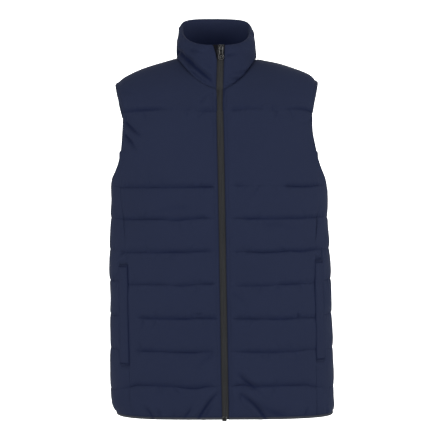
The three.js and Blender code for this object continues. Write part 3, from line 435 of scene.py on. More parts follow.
def gathered(length, count, power=1.7):
    # Offsets from 0 to the length, close together at both ends
    half = (np.arange(count + 1) / count) ** power * length / 2
    return np.concatenate([half, (length - half[::-1])[1:]])


def lineRows(lines, counts):
    rows = [np.array([lines[0]], float)]
    for low, high, count in zip(lines[:-1], lines[1:], counts):
        rows.append(low + gathered(high - low, count)[1:])
    return np.concatenate(rows)


# The quilted panels

quilting = {
    "floor": 0.24,        # how much of the puff is left under a line of stitches
    "seamFloor": 0.2,     # and at the neck, shoulder and zip
    "seamReach": 11,
    "seamShade": 0.55,
    "sideFloor": 0.86,    # and at the flat side seams
    "sideReach": 7,
    "sideShade": 0.07,
    "wave": 1.3,          # how far a line of stitches wanders up and down
    "pinch": 0.6,         # height of the small gathers beside a line
    "pinchReach": 11,
    "swell": 1.0,         # height of the soft swells of a whole channel
    "bead": 1.5,          # the turned hem and armhole edges, and where their stitches run
    "beadWidth": 5.2,
    "stitchDip": 0.9,
}

# Main creases: two ends, seen from the front or back (distance from the middle, height), the depth at
# each end, the half width, how far it bows, and the share of its depth that the fold beside it stands up
def crease(start, end, depth, endDepth=0.3, spread=4.0, bow=0.0, ridge=0.55):
    return {"start": start, "end": end, "depth": depth, "endDepth": endDepth,
            "spread": spread, "bow": bow, "ridge": ridge}


frontCreases = {
    -1: [
        crease((176, -137), (150, -162), 5.2, 1.5, 3.0, 1),
        crease((178, -162), (159, -187), 4.9, 1.5, 3.2, -1.5),
        crease((177, -126), (176, -133), 1.6, 0.6, 2.6, 0),
        crease((42, -505), (59, -507), 1.6, 0.5, 2.6, 0),
        crease((178, -76), (154, -83), 0.6, 0.1, 4.5, -2),
        crease((47, -699), (17, -657), 4.6, 1.6, 4.6, -1.5),
        crease((34, -694), (22, -676), 1.6, 0.4, 5.0, -1),
        crease((75, -699), (62, -679), 3.0, 0.5, 3.8, 1),
        crease((98, -701), (94, -693), 1.8, 0.2, 3.4, 0),
        crease((121, -700), (129, -684), 2.0, 0.3, 3.2, 1),
        crease((137, -701), (151, -681), 3.4, 0.5, 3.8, 1.5),
        crease((24, -585), (52, -612), 0.9, 0.2, 7.0, 3, 0.3),
        crease((34, -96), (20, -78), 1.0, 0.4, 3.4, 0),
        crease((72, -300), (128, -312), 0.7, 0.1, 8.0, 4, 0.3),
    ],
    1: [
        crease((76, -700), (34, -658), 4.6, 1.8, 4.8, -4),
        crease((108, -696), (66, -672), 2.0, 0.3, 10.0, 3, 0.3),
        crease((56, -640), (30, -618), 3.6, 1.2, 5.4, 3),
        crease((30, -662), (34, -672), 1.4, 0.5, 3.4, 0),
        crease((154, -699), (162, -682), 1.8, 0.2, 3.4, 1),
        crease((186, -128), (160, -139), 1.3, 0.1, 5.0, 2),
        crease((192, -170), (176, -188), 1.1, 0.1, 5.0, 2),
        crease((26, -468), (48, -492), 0.7, 0.1, 7.0, 3, 0.3),
        crease((92, -336), (150, -346), 0.7, 0.1, 8.0, 4, 0.3),
        crease((73, -322), (75, -312), 2.0, 0.3, 2.4, 0),
        crease((111, -322), (113, -314), 1.7, 0.3, 2.4, 0),
        crease((117, -386), (111, -376), 2.2, 0.3, 2.8, 0),
        crease((144, -511), (143, -500), 2.6, 0.4, 3.6, 0),
        crease((98, -637), (100, -627), 2.0, 0.3, 2.8, 0),
    ],
}
backCreases = [  # distance from the middle is signed here: + is the wearer's left
    crease((190, -132), (158, -158), 3.0, 0.3, 4.6, 3),
    crease((191, -160), (166, -184), 2.4, 0.3, 4.4, 2),
    crease((-189, -126), (-160, -150), 2.8, 0.3, 4.6, -3),
    crease((-192, -166), (-172, -192), 2.0, 0.2, 4.2, -2),
    crease((-36, -699), (-12, -668), 2.6, 0.4, 4.6, 3),
    crease((22, -699), (44, -674), 1.8, 0.2, 4.4, -2),
    crease((118, -699), (104, -678), 2.0, 0.2, 4.0, 2),
    crease((-128, -699), (-146, -680), 1.8, 0.2, 4.0, -2),
    crease((-60, -30), (-96, -58), 1.6, 0.2, 6.0, 4, 0.4),
    crease((62, -26), (104, -60), 1.8, 0.2, 6.0, -4, 0.4),
    crease((-20, -150), (70, -168), 0.8, 0.1, 14.0, 8, 0.2),
    crease((-120, -196), (-52, -214), 0.8, 0.1, 12.0, 6, 0.2),
    crease((30, -360), (84, -372), 0.8, 0.1, 8.0, 3, 0.3),
    crease((-110, -480), (-60, -492), 0.8, 0.1, 8.0, 3, 0.3),
]
sideCreases = {  # distance back from the front seam, and height
    -1: [
        crease((96, -262), (84, -300), 1.8, 0.2, 5.0, 4),
        crease((128, -250), (140, -286), 1.5, 0.2, 5.0, -4),
        crease((66, -699), (56, -676), 2.0, 0.2, 4.4, 2),
        crease((134, -699), (146, -672), 2.2, 0.2, 4.6, -2),
        crease((7, -386), (16, -391), 2.0, 1.0, 2.6, 0),
        crease((22, -560), (12, -590), 1.4, 0.6, 3.0, 1),
        crease((44, -440), (20, -420), 1.2, 0.2, 5.0, 2),
    ],
    1: [
        crease((110, -258), (122, -300), 1.8, 0.2, 5.0, 4),
        crease((84, -262), (66, -288), 1.6, 0.2, 5.0, -3),
        crease((84, -699), (96, -674), 2.2, 0.2, 4.6, 2),
        crease((30, -699), (22, -682), 1.8, 0.2, 4.0, 2),
        crease((150, -699), (138, -680), 1.8, 0.2, 4.0, 2),
        crease((18, -384), (18, -401), 2.2, 1.6, 2.0, 0),
        crease((2, -400), (18, -401), 2.6, 2.2, 2.6, 0),
    ],
}


def creaseRelief(across, up, creases):
    # Each is a soft trough along a bowed line, with a lower fold beside it, fading past its ends; the second
    # array is painted shade along the trough
    relief, coreShade = np.zeros(across.shape), np.zeros(across.shape)
    for one in creases:
        (startX, startZ), (endX, endZ) = one["start"], one["end"]
        length = math.hypot(endX - startX, endZ - startZ)
        alongX, alongZ = (endX - startX) / length, (endZ - startZ) / length
        run = ((across - startX) * alongX + (up - startZ) * alongZ) / length
        share = clamp01(run)
        off = (across - startX) * -alongZ + (up - startZ) * alongX
        off = off - one["bow"] * np.sin(math.pi * share)
        beyond = bell((run - share) * length, one["spread"] * 1.3)
        depth = mix(one["depth"], one["endDepth"], share ** 1.3) * beyond
        relief -= depth * bell(off, one["spread"])
        relief += depth * one["ridge"] * bell(np.abs(off) - 1.9 * one["spread"], one["spread"])
        coreShade = np.maximum(coreShade, 0.3 * depth * bell(off, one["spread"] * 0.55))
    return relief, coreShade


# Along each line of stitches on the fronts, read in enlarged strips of the photo: its pixel column and row
# there, and how strongly the line shows
stitchReadings = {
    -1: {
        1: [(120, 389, 0.35), (127, 388, 0.55), (132, 386.1, 0.65), (138, 384.5, 0.8), (145, 384.9, 0.8),
            (155, 385.5, 0.75), (168, 386.1, 0.85), (174, 386.1, 0.65), (180, 387, 0.7), (186, 388.1, 1),
            (193, 388.6, 1.1), (200, 388, 1.1), (206, 386.6, 1), (211, 386.6, 0.5), (216, 387, 0.2)],
        2: [(134, 350.2, 0), (139, 351.2, 0.5), (144, 350.8, 0.95), (152, 351, 0.95), (161, 351.4, 0.6),
            (170, 352, 0.75), (181, 352.6, 0.9), (190, 352.8, 1.1), (197, 352.6, 1), (200, 351.8, 0.6),
            (208, 351.8, 0.65), (213, 352, 0.35), (216, 352, 0)],
        3: [(138, 317.8, 0), (141, 317.9, 0.75), (150, 318.4, 0.95), (163, 318.6, 0.9), (173, 318.8, 1),
            (183, 319, 1.3), (189, 318.9, 1.2), (195, 318.2, 0.75), (203, 318.6, 0.9), (212, 318.5, 1),
            (216, 318.5, 0.9), (218, 318.5, 0)],
        4: [(129, 284.3, 0.4), (134, 284.3, 0.65), (145, 284.5, 0.55), (156, 284.5, 0.65),
            (166, 284.7, 0.45), (175, 285.4, 0.4), (181, 286, 0.9), (186, 285.4, 0.6), (191, 285.1, 0.75),
            (196, 284.4, 0.4), (205, 284.2, 0.65), (212, 284.1, 0.8), (214.5, 284.1, 0)],
        5: [(121, 252, 0.3), (126, 252.5, 0.6), (138, 252.5, 0.7), (150, 252.5, 0.75), (163, 252.4, 1),
            (173, 252, 1.3), (183, 252.4, 1), (190, 252.1, 0.85), (197, 251.5, 0.95), (206, 251.3, 0.85),
            (211, 251.2, 0.4), (214, 251.2, 0)],
        6: [(122, 219.2, 0.5), (128, 219.4, 0.9), (141, 219.4, 0.8), (150, 219.1, 0.85),
            (164, 219.1, 0.9), (169, 219.8, 0.5), (174, 220.4, 1), (185, 219.6, 1), (195, 218.8, 0.8),
            (202, 218, 1), (208, 218.2, 0.5), (214, 218.8, 0.2), (216, 218.8, 0)],
        7: [(122, 187.7, 0.5), (135, 187.6, 0.75), (150, 187.6, 0.8), (175, 187.6, 0.8),
            (188, 187.4, 0.95), (197, 187.3, 1.1), (206, 187.2, 1.25), (211, 187.2, 1.3),
            (213.5, 187.2, 0)],
        8: [(123.5, 111.8, 0.6), (134, 111, 0.9), (147, 110.1, 1), (158, 109.6, 0.7), (166, 109.4, 0.25),
            (192, 110.2, 0.15), (199, 111, 0.35), (204, 111.1, 0.65), (214, 111.1, 0.5), (218, 111.1, 0.4)],
    },
    1: {
        1: [(230, 386.2, 0.2), (237, 385.8, 0.6), (243, 384.6, 0.95), (249, 385.7, 1), (253, 387, 0.75),
            (258, 387, 0.75), (264, 386.3, 0.85), (285, 385.7, 0.85), (300, 385.3, 0.85),
            (306, 385.1, 0.75), (310, 386.3, 0.65), (320, 387, 0.45)],
        2: [(230, 352, 0.1), (236, 352, 0.4), (242, 352, 0.55), (248, 352.2, 0.95), (265, 352.4, 0.95),
            (278, 352.4, 1), (285, 352, 0.65), (295, 351.6, 0.65), (303, 350, 0.55), (313, 349.7, 0.4)],
        3: [(230, 319, 0), (236, 319, 0.5), (243, 319.1, 0.9), (258, 319.3, 0.85), (265, 319, 0.5),
            (272, 319.3, 1.1), (289, 319, 1.1), (295, 318.2, 0.8), (302, 318, 0.65), (313, 317.8, 0.6)],
        4: [(234, 286, 0.1), (238, 286, 0.45), (245, 286, 0.7), (265, 285.8, 0.65), (271, 285.3, 0.6),
            (277, 284.8, 0.35), (282, 284.3, 0.95), (297, 284.3, 1), (303, 283.6, 0.55),
            (313, 283.3, 0.45)],
        5: [(231, 252, 0), (236, 252.1, 0.5), (242, 251.6, 0.4), (250, 252.1, 0.65), (259, 252.5, 0.95),
            (268, 252.5, 0.95), (276, 252.1, 0.95), (281, 251.5, 1.1), (290, 250.8, 1.05),
            (297, 251.3, 1.3), (304, 251.2, 1.3), (308, 250.3, 0.9), (313, 249.6, 1), (317, 249.2, 0.4)],
        6: [(229, 218.1, 0.1), (237, 218.8, 0.5), (243, 218.3, 0.5), (246, 218.9, 1.1), (257, 218.8, 1.1),
            (262, 218.6, 1), (280, 218.6, 0.95), (288, 218.1, 1.05), (300, 218.1, 1.05),
            (312, 217.5, 0.85), (320, 216.5, 0.5)],
        7: [(229, 185.8, 0), (233, 185.7, 0.2), (237, 186, 0.65), (243, 186.1, 0.4), (249, 186.1, 0.25),
            (253, 186.3, 0.1), (280, 186.3, 0.1), (285, 186, 0.5), (292, 186.6, 1.1), (300, 186.6, 1.15),
            (308, 186.5, 1.1), (314, 185.7, 0.95), (320, 185.1, 0.8)],
        8: [(229, 110.3, 0), (232, 110.1, 0.6), (240, 109.6, 0.55), (247, 108.7, 0.5), (257, 108.5, 0.4),
            (263, 109, 0.2), (281, 109.3, 0.2), (289, 108.5, 0.4), (298, 108.3, 0.65), (304, 108.8, 0.8),
            (308, 109.8, 0.9), (311, 111, 0.8)],
    },
}
photoView = {  # how the photo's pixels lie on the front's curve, in pixels and millimetres
    "middle": 220, "pixel": 2, "distance": 2500, "across": 7, "turn": 0.026, "height": -324,
    "halfWidth": 217, "front": 121, "square": 2.7, "start": -115, "rounds": 6,
}


def onFront(side, index, column, row, strength):
    # A reading as its distance from the middle, its rise over the line, and how strongly it shows
    depth = photoView["start"]
    for _ in range(photoView["rounds"]):
        nearer = (photoView["distance"] + depth) / photoView["distance"]
        height = (photoView["middle"] - row) * photoView["pixel"] * nearer + photoView["height"]
        across = photoView["across"] + (column - photoView["middle"]) * photoView["pixel"] * nearer
        across += photoView["turn"] * depth + cloth["lean"] * height
        share = max(0.02, 1 - (abs(across) / photoView["halfWidth"]) ** photoView["square"])
        depth = -photoView["front"] * share ** (1 / photoView["square"])
    return round(side * across), round((height - quiltLines[index]) * 2) / 2, strength


stitchCourses = {
    side: {
        index: sorted(onFront(side, index, *reading) for reading in readings)
        for index, readings in lines.items()
    }
    for side, lines in stitchReadings.items()
}


def courseOf(side, index, across):
    # How far the line rises and how strongly it shows at each place, read between its known points
    place, rise, strength = np.array(stitchCourses[side][index], float).T
    taps = [across + step for step in (-4, 0, 4)]
    return [sum(np.interp(tap, place, values) for tap in taps) / 3 for values in (rise, strength)]


def seededCourse(seed, index, run):
    rise = quilting["wave"] * ripple(run, seed + 29 * index, (60, 115, 210))
    return rise, 1 + 0.3 * ripple(run, seed + 11 * index, (34, 75, 150))


def slid(height, lines, courses):
    # Where each point's row goes as the lines wander: a row near a line moves with it
    moved = height + 0.0
    for index, line in enumerate(lines[1:], 1):
        if line < yokeLine:
            moved = moved + courses[index][0] * smooth(1 - np.abs(height - line) / 30)
    return moved


def quiltField(height, run, lines, seed, present, courses, dip=1.0):
    # For each line: a soft rise of the wadding away from it, small gathers beside it, and painted shade along
    # it, with a fainter band of painted shade just above it
    puff, gathers = np.ones(height.shape), np.zeros(height.shape)
    coreShade = np.zeros(height.shape)
    for index, line in enumerate(lines[1:], 1):
        here = present[index]
        off = height - line
        distance = np.abs(off)
        pull = courses[index][1]
        floor = clamp01(quilting["floor"] + 0.1 * ripple(run, seed + 5 * index, (22, 50)))
        puff = np.minimum(puff, 1 - (1 - risen(distance, cloth["puffReach"])) * here * dip * (1 - floor))
        above = ripple(run + 0.25 * off, seed + 17 * index, (8, 13, 21, 34))
        below = ripple(run - 0.2 * off, seed + 23 * index, (9, 12, 24, 40))
        gather = np.where(off > 0, above, below) * smooth(distance / 2.5)
        gathers += gather * bell(distance, quilting["pinchReach"] * (0.8 + 0.4 * clamp01(pull - 0.6))) * here
        coreShade = np.maximum(coreShade, here * clamp01(0.8 * pull) * bell(off, 1.6 + 0.3 * pull))
        coreShade = np.maximum(coreShade, here * 0.42 * clamp01(pull) * bell(off - 3.2, 3.6))
    return puff, gathers * quilting["pinch"], coreShade


def pinches(across, up, lines, seed, low, high, each=5):
    # Short slanting creases that start at a line of stitches, at seeded places along it, each with painted
    # shade along its trough
    rng = np.random.default_rng(seed)
    made = []
    for line in lines[1:]:
        for place in rng.uniform(low, high, each):
            way = rng.choice([-1, 1])
            length, slant = rng.uniform(9, 24), rng.uniform(-1.2, 1.2)
            start = (place, line + way * 1.5)
            end = (place + slant * length * 0.7, line + way * length)
            depth, spread, bow = rng.uniform(0.5, 1.3), rng.uniform(2.2, 4.0), rng.uniform(-2, 2)
            made.append(crease(start, end, depth, 0.1, spread, bow))
    return creaseRelief(across, up, made)


def turnedEdge(relief, distance, share=1.0):
    # A finished edge: it rises at once to a narrow bead, dips at its stitches, and then meets the puff
    bead = share * quilting["bead"] * risen(distance, 1.6, 0.5)
    dip = share * quilting["stitchDip"] * bell(distance - quilting["beadWidth"], 0.9)
    return np.maximum(relief, bead) - dip


def edgeShare(distance):
    return risen(distance - quilting["beadWidth"] + 1, 21, 0.7)


bodyCounts = (22, 13, 13, 13, 13, 13, 13, 28)
yokeCount, columnCount = 26, 45


def padToThirds(values, extra=0):  # adds rows in the widest gaps until every third one fits
    values = np.asarray(values)
    while (len(values) + extra - 1) % 3:
        widest = np.argmax(np.diff(values))
        values = np.insert(values, widest + 1, (values[widest] + values[widest + 1]) / 2)
    return values


def halfPanel(side, isBack, courseAt):
    # A front, or half of the back: rings of the body up to the yoke line, then the yoke's blend
    rows = lineRows(quiltLines, bodyCounts)
    corner = cloth["riserShare"]["back" if isBack else "front"]
    lowCount = int(round(corner * yokeCount)) + 1
    lowUps = padToThirds(gathered(corner, lowCount)[1:], len(rows))
    ups = np.concatenate([lowUps, padToThirds(corner + gathered(1 - corner, yokeCount - lowCount)[1:], 1)])
    columns = padToThirds(gathered(1, columnCount))
    height, across = np.meshgrid(rows, columns, indexing="ij")
    def lowPoints(level):
        start = math.pi if isBack else turnAtWidth(section(level), zipEdge(side, level))
        return bodyPoint(level, mix(start, panelEdgeTurn(level, isBack), across))
    flat = lowPoints(height)
    courses = {index: courseAt(index, flat[..., 0]) for index in range(1, len(quiltLines))}
    low = lowPoints(slid(height, quiltLines, courses))
    up, across = np.meshgrid(ups, columns, indexing="ij")
    yoke = yokePoint(side, isBack, across, up)
    points = np.concatenate([low, yoke])
    level = np.concatenate([height, yokeLine + distanceTo(yoke, low[-1:])])
    onNeck = np.concatenate([np.zeros(len(rows)), ups]) >= corner - 1e-9
    neckTurn = mix(math.pi if isBack else neckStart(side), rightAngle, clamp01((ups - corner) / (1 - corner)))
    outward = unit(neckPoint(neckTurn) * [1, 1, 0] - [0, neck["centre"], 0])
    outward[:, 2] = mix(0.35, 1, smooth(neckTurn / rightAngle))
    mitre = np.concatenate([np.zeros((len(rows), 3)), unit(outward)])
    return {
        "points": points, "level": level, "onNeck": onNeck, "mitre": mitre,
        "inner": distanceTo(points, points[:, :1]), "outer": distanceTo(points, points[:, -1:]),
        "shoulder": distanceTo(points, points[-1:]), "lineRows": len(rows),
        "cornerRow": len(rows) + len(lowUps) - 1,
    }


def relaxYoke(points, firstRow, freeTo=0, rounds=30):
    # Evens out the yoke: each inside point moves part of the way to the middle of its neighbours,
    # and so do those of the first column below the row freeTo
    for _ in range(rounds):
        middle = (points[firstRow - 1:-2] + points[firstRow + 1:]) / 2
        points[firstRow:-1, 1:-1] = mix(points[firstRow:-1, 1:-1], middle[:, 1:-1], 0.5)
        free = slice(firstRow, max(freeTo, firstRow))
        points[free, 0] = mix(points[free, 0], middle[:free.stop - firstRow, 0], 0.5)
    return points


def neckNormals(normals, grid):
    # Near the neck the normals turn to the mitre that the yoke shares with the collar
    blend = (1 - smooth(grid["inner"] / 6)) * grid["onNeck"][:, None]
    return unit(mix(normals, grid["mitre"][:, None, :], blend[..., None]))


def panelRelief(grid, across, seed, courses, creases, hasZip):
    level, inner, outer = grid["level"], grid["inner"], grid["outer"]
    present = {index: clamp01(strength / 0.6) for index, (_, strength) in courses.items()}
    puff, gathers, coreShade = quiltField(level, across, quiltLines, seed, present, courses)
    onSeam = level <= armhole["seamMeets"]
    seamShare = mix(quilting["sideFloor"], 1, risen(outer, quilting["sideReach"]))
    shares = puff * np.where(onSeam, seamShare, edgeShare(outer)) * edgeShare(level - quiltLines[0])
    shares = shares * mix(quilting["seamFloor"], 1, risen(grid["shoulder"], quilting["seamReach"]))
    nearInner = inner if hasZip else np.where(grid["onNeck"][:, None], inner, 1e3)
    shares = shares * mix(grid["innerFloor"], 1, risen(nearInner, quilting["seamReach"]))
    gathers = gathers * smooth(np.minimum(outer, grid["shoulder"]) / 12)
    swell = quilting["swell"] * billow(across, level, seed + 3, 50, 150)
    relief = (cloth["puff"] + swell) * shares + gathers * shares ** 0.3
    folds, foldShade = creaseRelief(across, level, creases)
    small, pinchShade = pinches(across, level, quiltLines, seed + 7, *grid["pinchSpan"])
    relief = relief + folds + small * shares
    relief = np.where(level > -690, relief, np.maximum(relief, 0.2))
    relief = turnedEdge(relief, level - quiltLines[0])
    relief = np.where(onSeam, relief, turnedEdge(relief, outer, 0.5))
    # Painted shade along the side seams and beside the welts, then along the zip, neck and shoulder seams, in
    # the quilting lines and creases, and along the hem's stitches
    seamShade = np.maximum(quilting["sideShade"] * bell(outer, 1.6), grid["weltShade"] * bell(outer, 2.6))
    edges = np.where(onSeam, seamShade, 0)
    edges = np.maximum(edges, grid["innerShade"] * bell(nearInner, grid["innerWide"]))
    edges = np.maximum(edges, quilting["seamShade"] * bell(grid["shoulder"], 1.2))
    dark = np.maximum.reduce([coreShade, foldShade, pinchShade, edges])
    dark = np.maximum(dark, 0.7 * bell(level - quiltLines[0] - quilting["beadWidth"], 1.1))
    band = 1 - smooth((level - quiltLines[0] - quilting["beadWidth"] + 0.8) / 0.8)
    bound = np.where(onSeam, 0, 1 - smooth((outer - quilting["beadWidth"] + 0.8) / 0.8))
    return relief, {"paintedShade": clamp01(dark), "edge": clamp01(np.maximum(band, 0.1 * bound))}, present


stitches = []  # every run of stitches: its points and its outward normals


def sew(points, normals, mirror=False):
    flip = np.array([-1.0 if mirror else 1.0, 1, 1])
    stitches.append((points * flip, normals * flip))


def sewLines(outerPoints, normals, lines, rowHeights, present, mirror):
    for index, line in enumerate(lines[1:], 1):
        row = int(np.argmin(np.abs(rowHeights - line)))
        keep = present[index][row] > 0.5
        if keep.sum() > 3:
            sew(outerPoints[row][keep], normals[row][keep], mirror)


def alongEdge(points, normals, distance, edgeDistance, rows):
    # One point of each row where the panel is this far from its edge, found between two columns
    found, facing = [], []
    for row in rows:
        away = edgeDistance[row]
        order = np.argsort(away)
        if away[order[-1]] < distance:
            continue
        found.append([np.interp(distance, away[order], points[row][order, axis]) for axis in range(3)])
        facing.append([np.interp(distance, away[order], normals[row][order, axis]) for axis in range(3)])
    return np.array(found), unit(np.array(facing))


def yokeLineShift(points, grid, courses):
    # The yoke line has no seam at its ends, so its rows simply move up and down
    near = smooth(1 - np.abs(grid["level"] - yokeLine) / 24)
    points[..., 2] += (
        courses[len(quiltLines) - 1][0] * near * smooth(grid["outer"] / 3) * smooth(grid["inner"] / 3))


def makeFront(side):
    grid = halfPanel(side, False, lambda index, across: courseOf(side, index, across))
    points = relaxYoke(grid["points"], grid["lineRows"])
    across = points[..., 0]
    grid["pinchSpan"] = (28, 160)
    # innerShade and weltShade: how much painted shade lies along the zip and neck seam and beside the welt
    nearNeck = smooth((grid["level"] + 92) / 14)
    grid["innerShade"] = mix(quilting["seamShade"], 0.0, nearNeck if side < 0 else 0.0)
    grid["innerFloor"] = mix(quilting["seamFloor"], 0.8, nearNeck if side < 0 else 0.0)
    grid["innerWide"] = mix(1.2, 3.0, nearNeck if side > 0 else 0.0)
    welt = welts[side]
    beside = smooth((np.minimum(grid["level"] - welt["bottom"], welt["top"] - grid["level"]) + 3) / 8)
    grid["weltShade"] = (0.6 if side < 0 else 0.45) * beside
    courses = {index: courseOf(side, index, across) for index in range(1, len(quiltLines))}
    creases = frontCreases[side]
    relief, marks, present = panelRelief(grid, across, 250 + 150 * side, courses, creases, True)
    normals = neckNormals(gridNormals(points), grid)
    yokeLineShift(points, grid, courses)
    name = "front_cloth_left" if side > 0 else "front_cloth_right"
    made, outer = wall(name, points, normals, relief, False, side < 0, marks=marks)
    rowHeights = grid["level"][:, 0]
    sewLines(outer, normals, quiltLines, rowHeights, present, side < 0)
    every = range(0, len(points), 2)
    armRows = [row for row in every if rowHeights[row] > armhole["seamMeets"] + 2]
    sew(*alongEdge(outer, normals, quilting["beadWidth"], grid["outer"], armRows), side < 0)
    zipRows = [row for row in every if rowHeights[row] > -700 and not grid["onNeck"][row]]
    sew(*alongEdge(outer, normals, 6.5, grid["inner"], zipRows), side < 0)
    hemRow = int(np.argmin(np.abs(rowHeights - quiltLines[0] - quilting["beadWidth"])))
    sew(outer[hemRow], normals[hemRow], side < 0)
    return made


def backCourse(index, across):
    rise, strength = seededCourse(700, index, across)
    return rise, strength * (0.5 if index == len(quiltLines) - 1 else 0.8)


def makeBack():
    # Two halves, one piece below the neck and apart round it, where the grid has a slit
    halves = {
        side: halfPanel(side, True, lambda index, x, side=side: backCourse(index, side * x))
        for side in (-1, 1)
    }
    cornerRow, lineCount = halves[1]["cornerRow"], halves[1]["lineRows"]
    for half in halves.values():
        relaxYoke(half["points"], lineCount, cornerRow)
        half["normals"] = -gridNormals(half["points"])
    for key in ("points", "normals"):
        halves[-1][key] = halves[-1][key] * [-1, 1, 1]
    halves[-1]["mitre"] = halves[-1]["mitre"] * [-1, 1, 1]
    shared = unit(halves[-1]["normals"][:cornerRow + 1, 0] + halves[1]["normals"][:cornerRow + 1, 0])
    for half in halves.values():
        half["normals"][:cornerRow + 1, 0] = shared
        blend = (1 - smooth(half["inner"] / 6)) * half["onNeck"][:, None]
        half["normals"] = unit(mix(half["normals"], half["mitre"][:, None], blend[..., None]))
    joined = {"onNeck": halves[1]["onNeck"], "pinchSpan": (-176, 176), "innerShade": quilting["seamShade"],
              "innerFloor": quilting["seamFloor"], "innerWide": 1.2, "weltShade": 0.0}
    for key in ("points", "normals", "level", "inner", "outer", "shoulder"):
        joined[key] = np.concatenate([halves[-1][key][:, ::-1], halves[1][key]], axis=1)
    points, normals = joined["points"], joined["normals"]
    across, middle = points[..., 0], points.shape[1] // 2
    courses = {index: backCourse(index, across) for index in range(1, len(quiltLines))}
    relief, marks, present = panelRelief(joined, across, 700, courses, backCreases, False)
    yokeLineShift(points, dict(joined, inner=np.full(across.shape, 9.0)), courses)
    made, outer = wall(
        "back_cloth", points, normals, relief, True, False, marks=marks, slit=(cornerRow, middle - 1))
    rowHeights = joined["level"][:, middle]
    once = [np.delete(values, middle, axis=1) for values in (outer, normals)]
    present = {index: np.delete(values, middle, axis=1) for index, values in present.items()}
    sewLines(*once, quiltLines, rowHeights, present, False)
    armRows = [row for row in range(0, len(points), 2) if rowHeights[row] > armhole["seamMeets"] + 2]
    for half in (slice(0, middle), slice(middle, None)):
        away = joined["outer"][:, half]
        sew(*alongEdge(outer[:, half], normals[:, half], quilting["beadWidth"], away, armRows))
    hemRow = int(np.argmin(np.abs(rowHeights - quiltLines[0] - quilting["beadWidth"])))
    sew(once[0][hemRow], once[1][hemRow])
    return made


# The side panels and their pocket welts

welts = {
    -1: {"top": -410, "bottom": -605, "name": "welt_cloth_right", "node": "pocket_welt_right"},
    1: {"top": -402, "bottom": -597, "name": "welt_cloth_left", "node": "pocket_welt_left"},
}
weltShape = {
    "share": 0.1, "clear": 0.3, "thickness": 3.0, "edge": 0.9, "outerEdge": 1.5, "under": 1.0, "reach": 18.6,
    "fade": 7, "dip": 0.68,
}


def frontTurn(height):
    return turnMoved(height, seamTurn(height, False), cloth["sewnGap"] / 2)


def backTurn(height):
    return turnMoved(height, seamTurn(height, True), -cloth["sewnGap"] / 2)


def sideBase(height, across):
    return bodyPoint(height, mix(frontTurn(height), backTurn(height), across))


# How high each side line stands beside its named height where it shows at the outline, and how strongly
sideCourses = {
    -1: {1: (-3, 0.6), 2: (5, 0.8), 3: (5, 0.9), 4: (3, 0.95), 5: (3, 0.45), 6: (2.5, 0.7), 7: (3, 0.3)},
    1: {1: (0, 0.45), 2: (5, 0.5), 3: (7, 0.9), 4: (5, 0.8), 5: (5, 0.6), 6: (4.5, 0.6), 7: (4.5, 0.7)},
}


def sideCourse(side, index, run, width):
    # From where the front's line ends, through the outline's height, to where the back's line ends
    rise, strength = sideCourses[side][index]
    seamX = np.interp(sideLines[index], seams["height"], seams["front"])
    front, frontStrength = (float(values) for values in courseOf(side, index, np.array(seamX)))
    backPlace = side * np.interp(sideLines[index], seams["height"], seams["back"])
    back = float(backCourse(index, np.array(backPlace))[0])
    front, back = (end + quiltLines[index] - sideLines[index] for end in (front, back))
    places = np.array([0, 24, 60, 0.62, 1])
    places[3:] *= width
    wave = 0.5 * quilting["wave"] * ripple(run, 1500 + 31 * index + side, (50, 95, 180))
    rises = np.interp(run, places, [front, mix(front, rise, 0.75), rise, rise, back])
    strengths = np.interp(run, places, [frontStrength, 0.4 * strength, strength, 0.8, 0.8])
    return rises + wave * smooth(run / 20) * smooth((width - run) / 20), strengths


def sideGrid(side):
    # Rings of the body between the two seams, then rows that rise to the armhole's scoop
    rows = lineRows(sideLines, (22, 15, 13, 13, 13, 13, 13))
    rises = padToThirds(gathered(1, 11)[1:], len(rows))
    columns = padToThirds(gathered(1, 46, 1.5))
    height, across = np.meshgrid(rows, columns, indexing="ij")
    flat = sideBase(height, across)
    run = np.cumsum(distanceTo(flat, np.roll(flat, 1, 1)) * (np.arange(len(columns)) > 0), axis=1)
    courses = {
        index: sideCourse(side, index, run, run[len(rows) // 2, -1]) for index in range(1, len(sideLines))
    }
    low = sideBase(slid(height, sideLines, courses), across)
    rise, across = np.meshgrid(rises, columns, indexing="ij")
    square = armhole["scoopSquare"]
    drop = (armhole["scoopTop"] - armhole["seamMeets"]) / (armhole["scoopTop"] - armhole["scoopBottom"])
    junction = math.atan2(drop, (1 - drop ** square) ** (1 / square))
    angle = mix(junction, math.pi - junction, across)
    reach = (np.abs(np.cos(angle)) ** square + np.sin(angle) ** square) ** (-1 / square)
    scoop = mix(armhole["scoopTop"], armhole["scoopBottom"], reach * np.sin(angle))
    isBack = angle > rightAngle
    depth = np.where(isBack, armhole["backDepth"], armhole["frontDepth"]) * reach * np.cos(angle)
    ring = section(scoop)
    topTurn = np.where(isBack, turnAtDepth(ring, depth, True), turnAtDepth(ring, depth, False))
    start = np.full(across.shape, float(sideLines[-1]))
    height = mix(start, scoop, rise)
    turn = mix(mix(frontTurn(start), backTurn(start), across), topTurn, rise)
    turn[:, 0], turn[:, -1] = frontTurn(height[:, 0]), backTurn(height[:, -1])
    points = np.concatenate([low, bodyPoint(height, turn)])
    run = np.cumsum(distanceTo(points, np.roll(points, 1, 1)) * (np.arange(len(columns)) > 0), axis=1)
    return {
        "points": points, "run": run, "lineRows": len(rows),
        "level": np.concatenate([np.repeat(rows[:, None], len(columns), 1), points[len(rows):, :, 2]]),
        "front": distanceTo(points, points[:, :1]), "back": distanceTo(points, points[:, -1:]),
        "top": distanceTo(points, points[-1:]),
    }


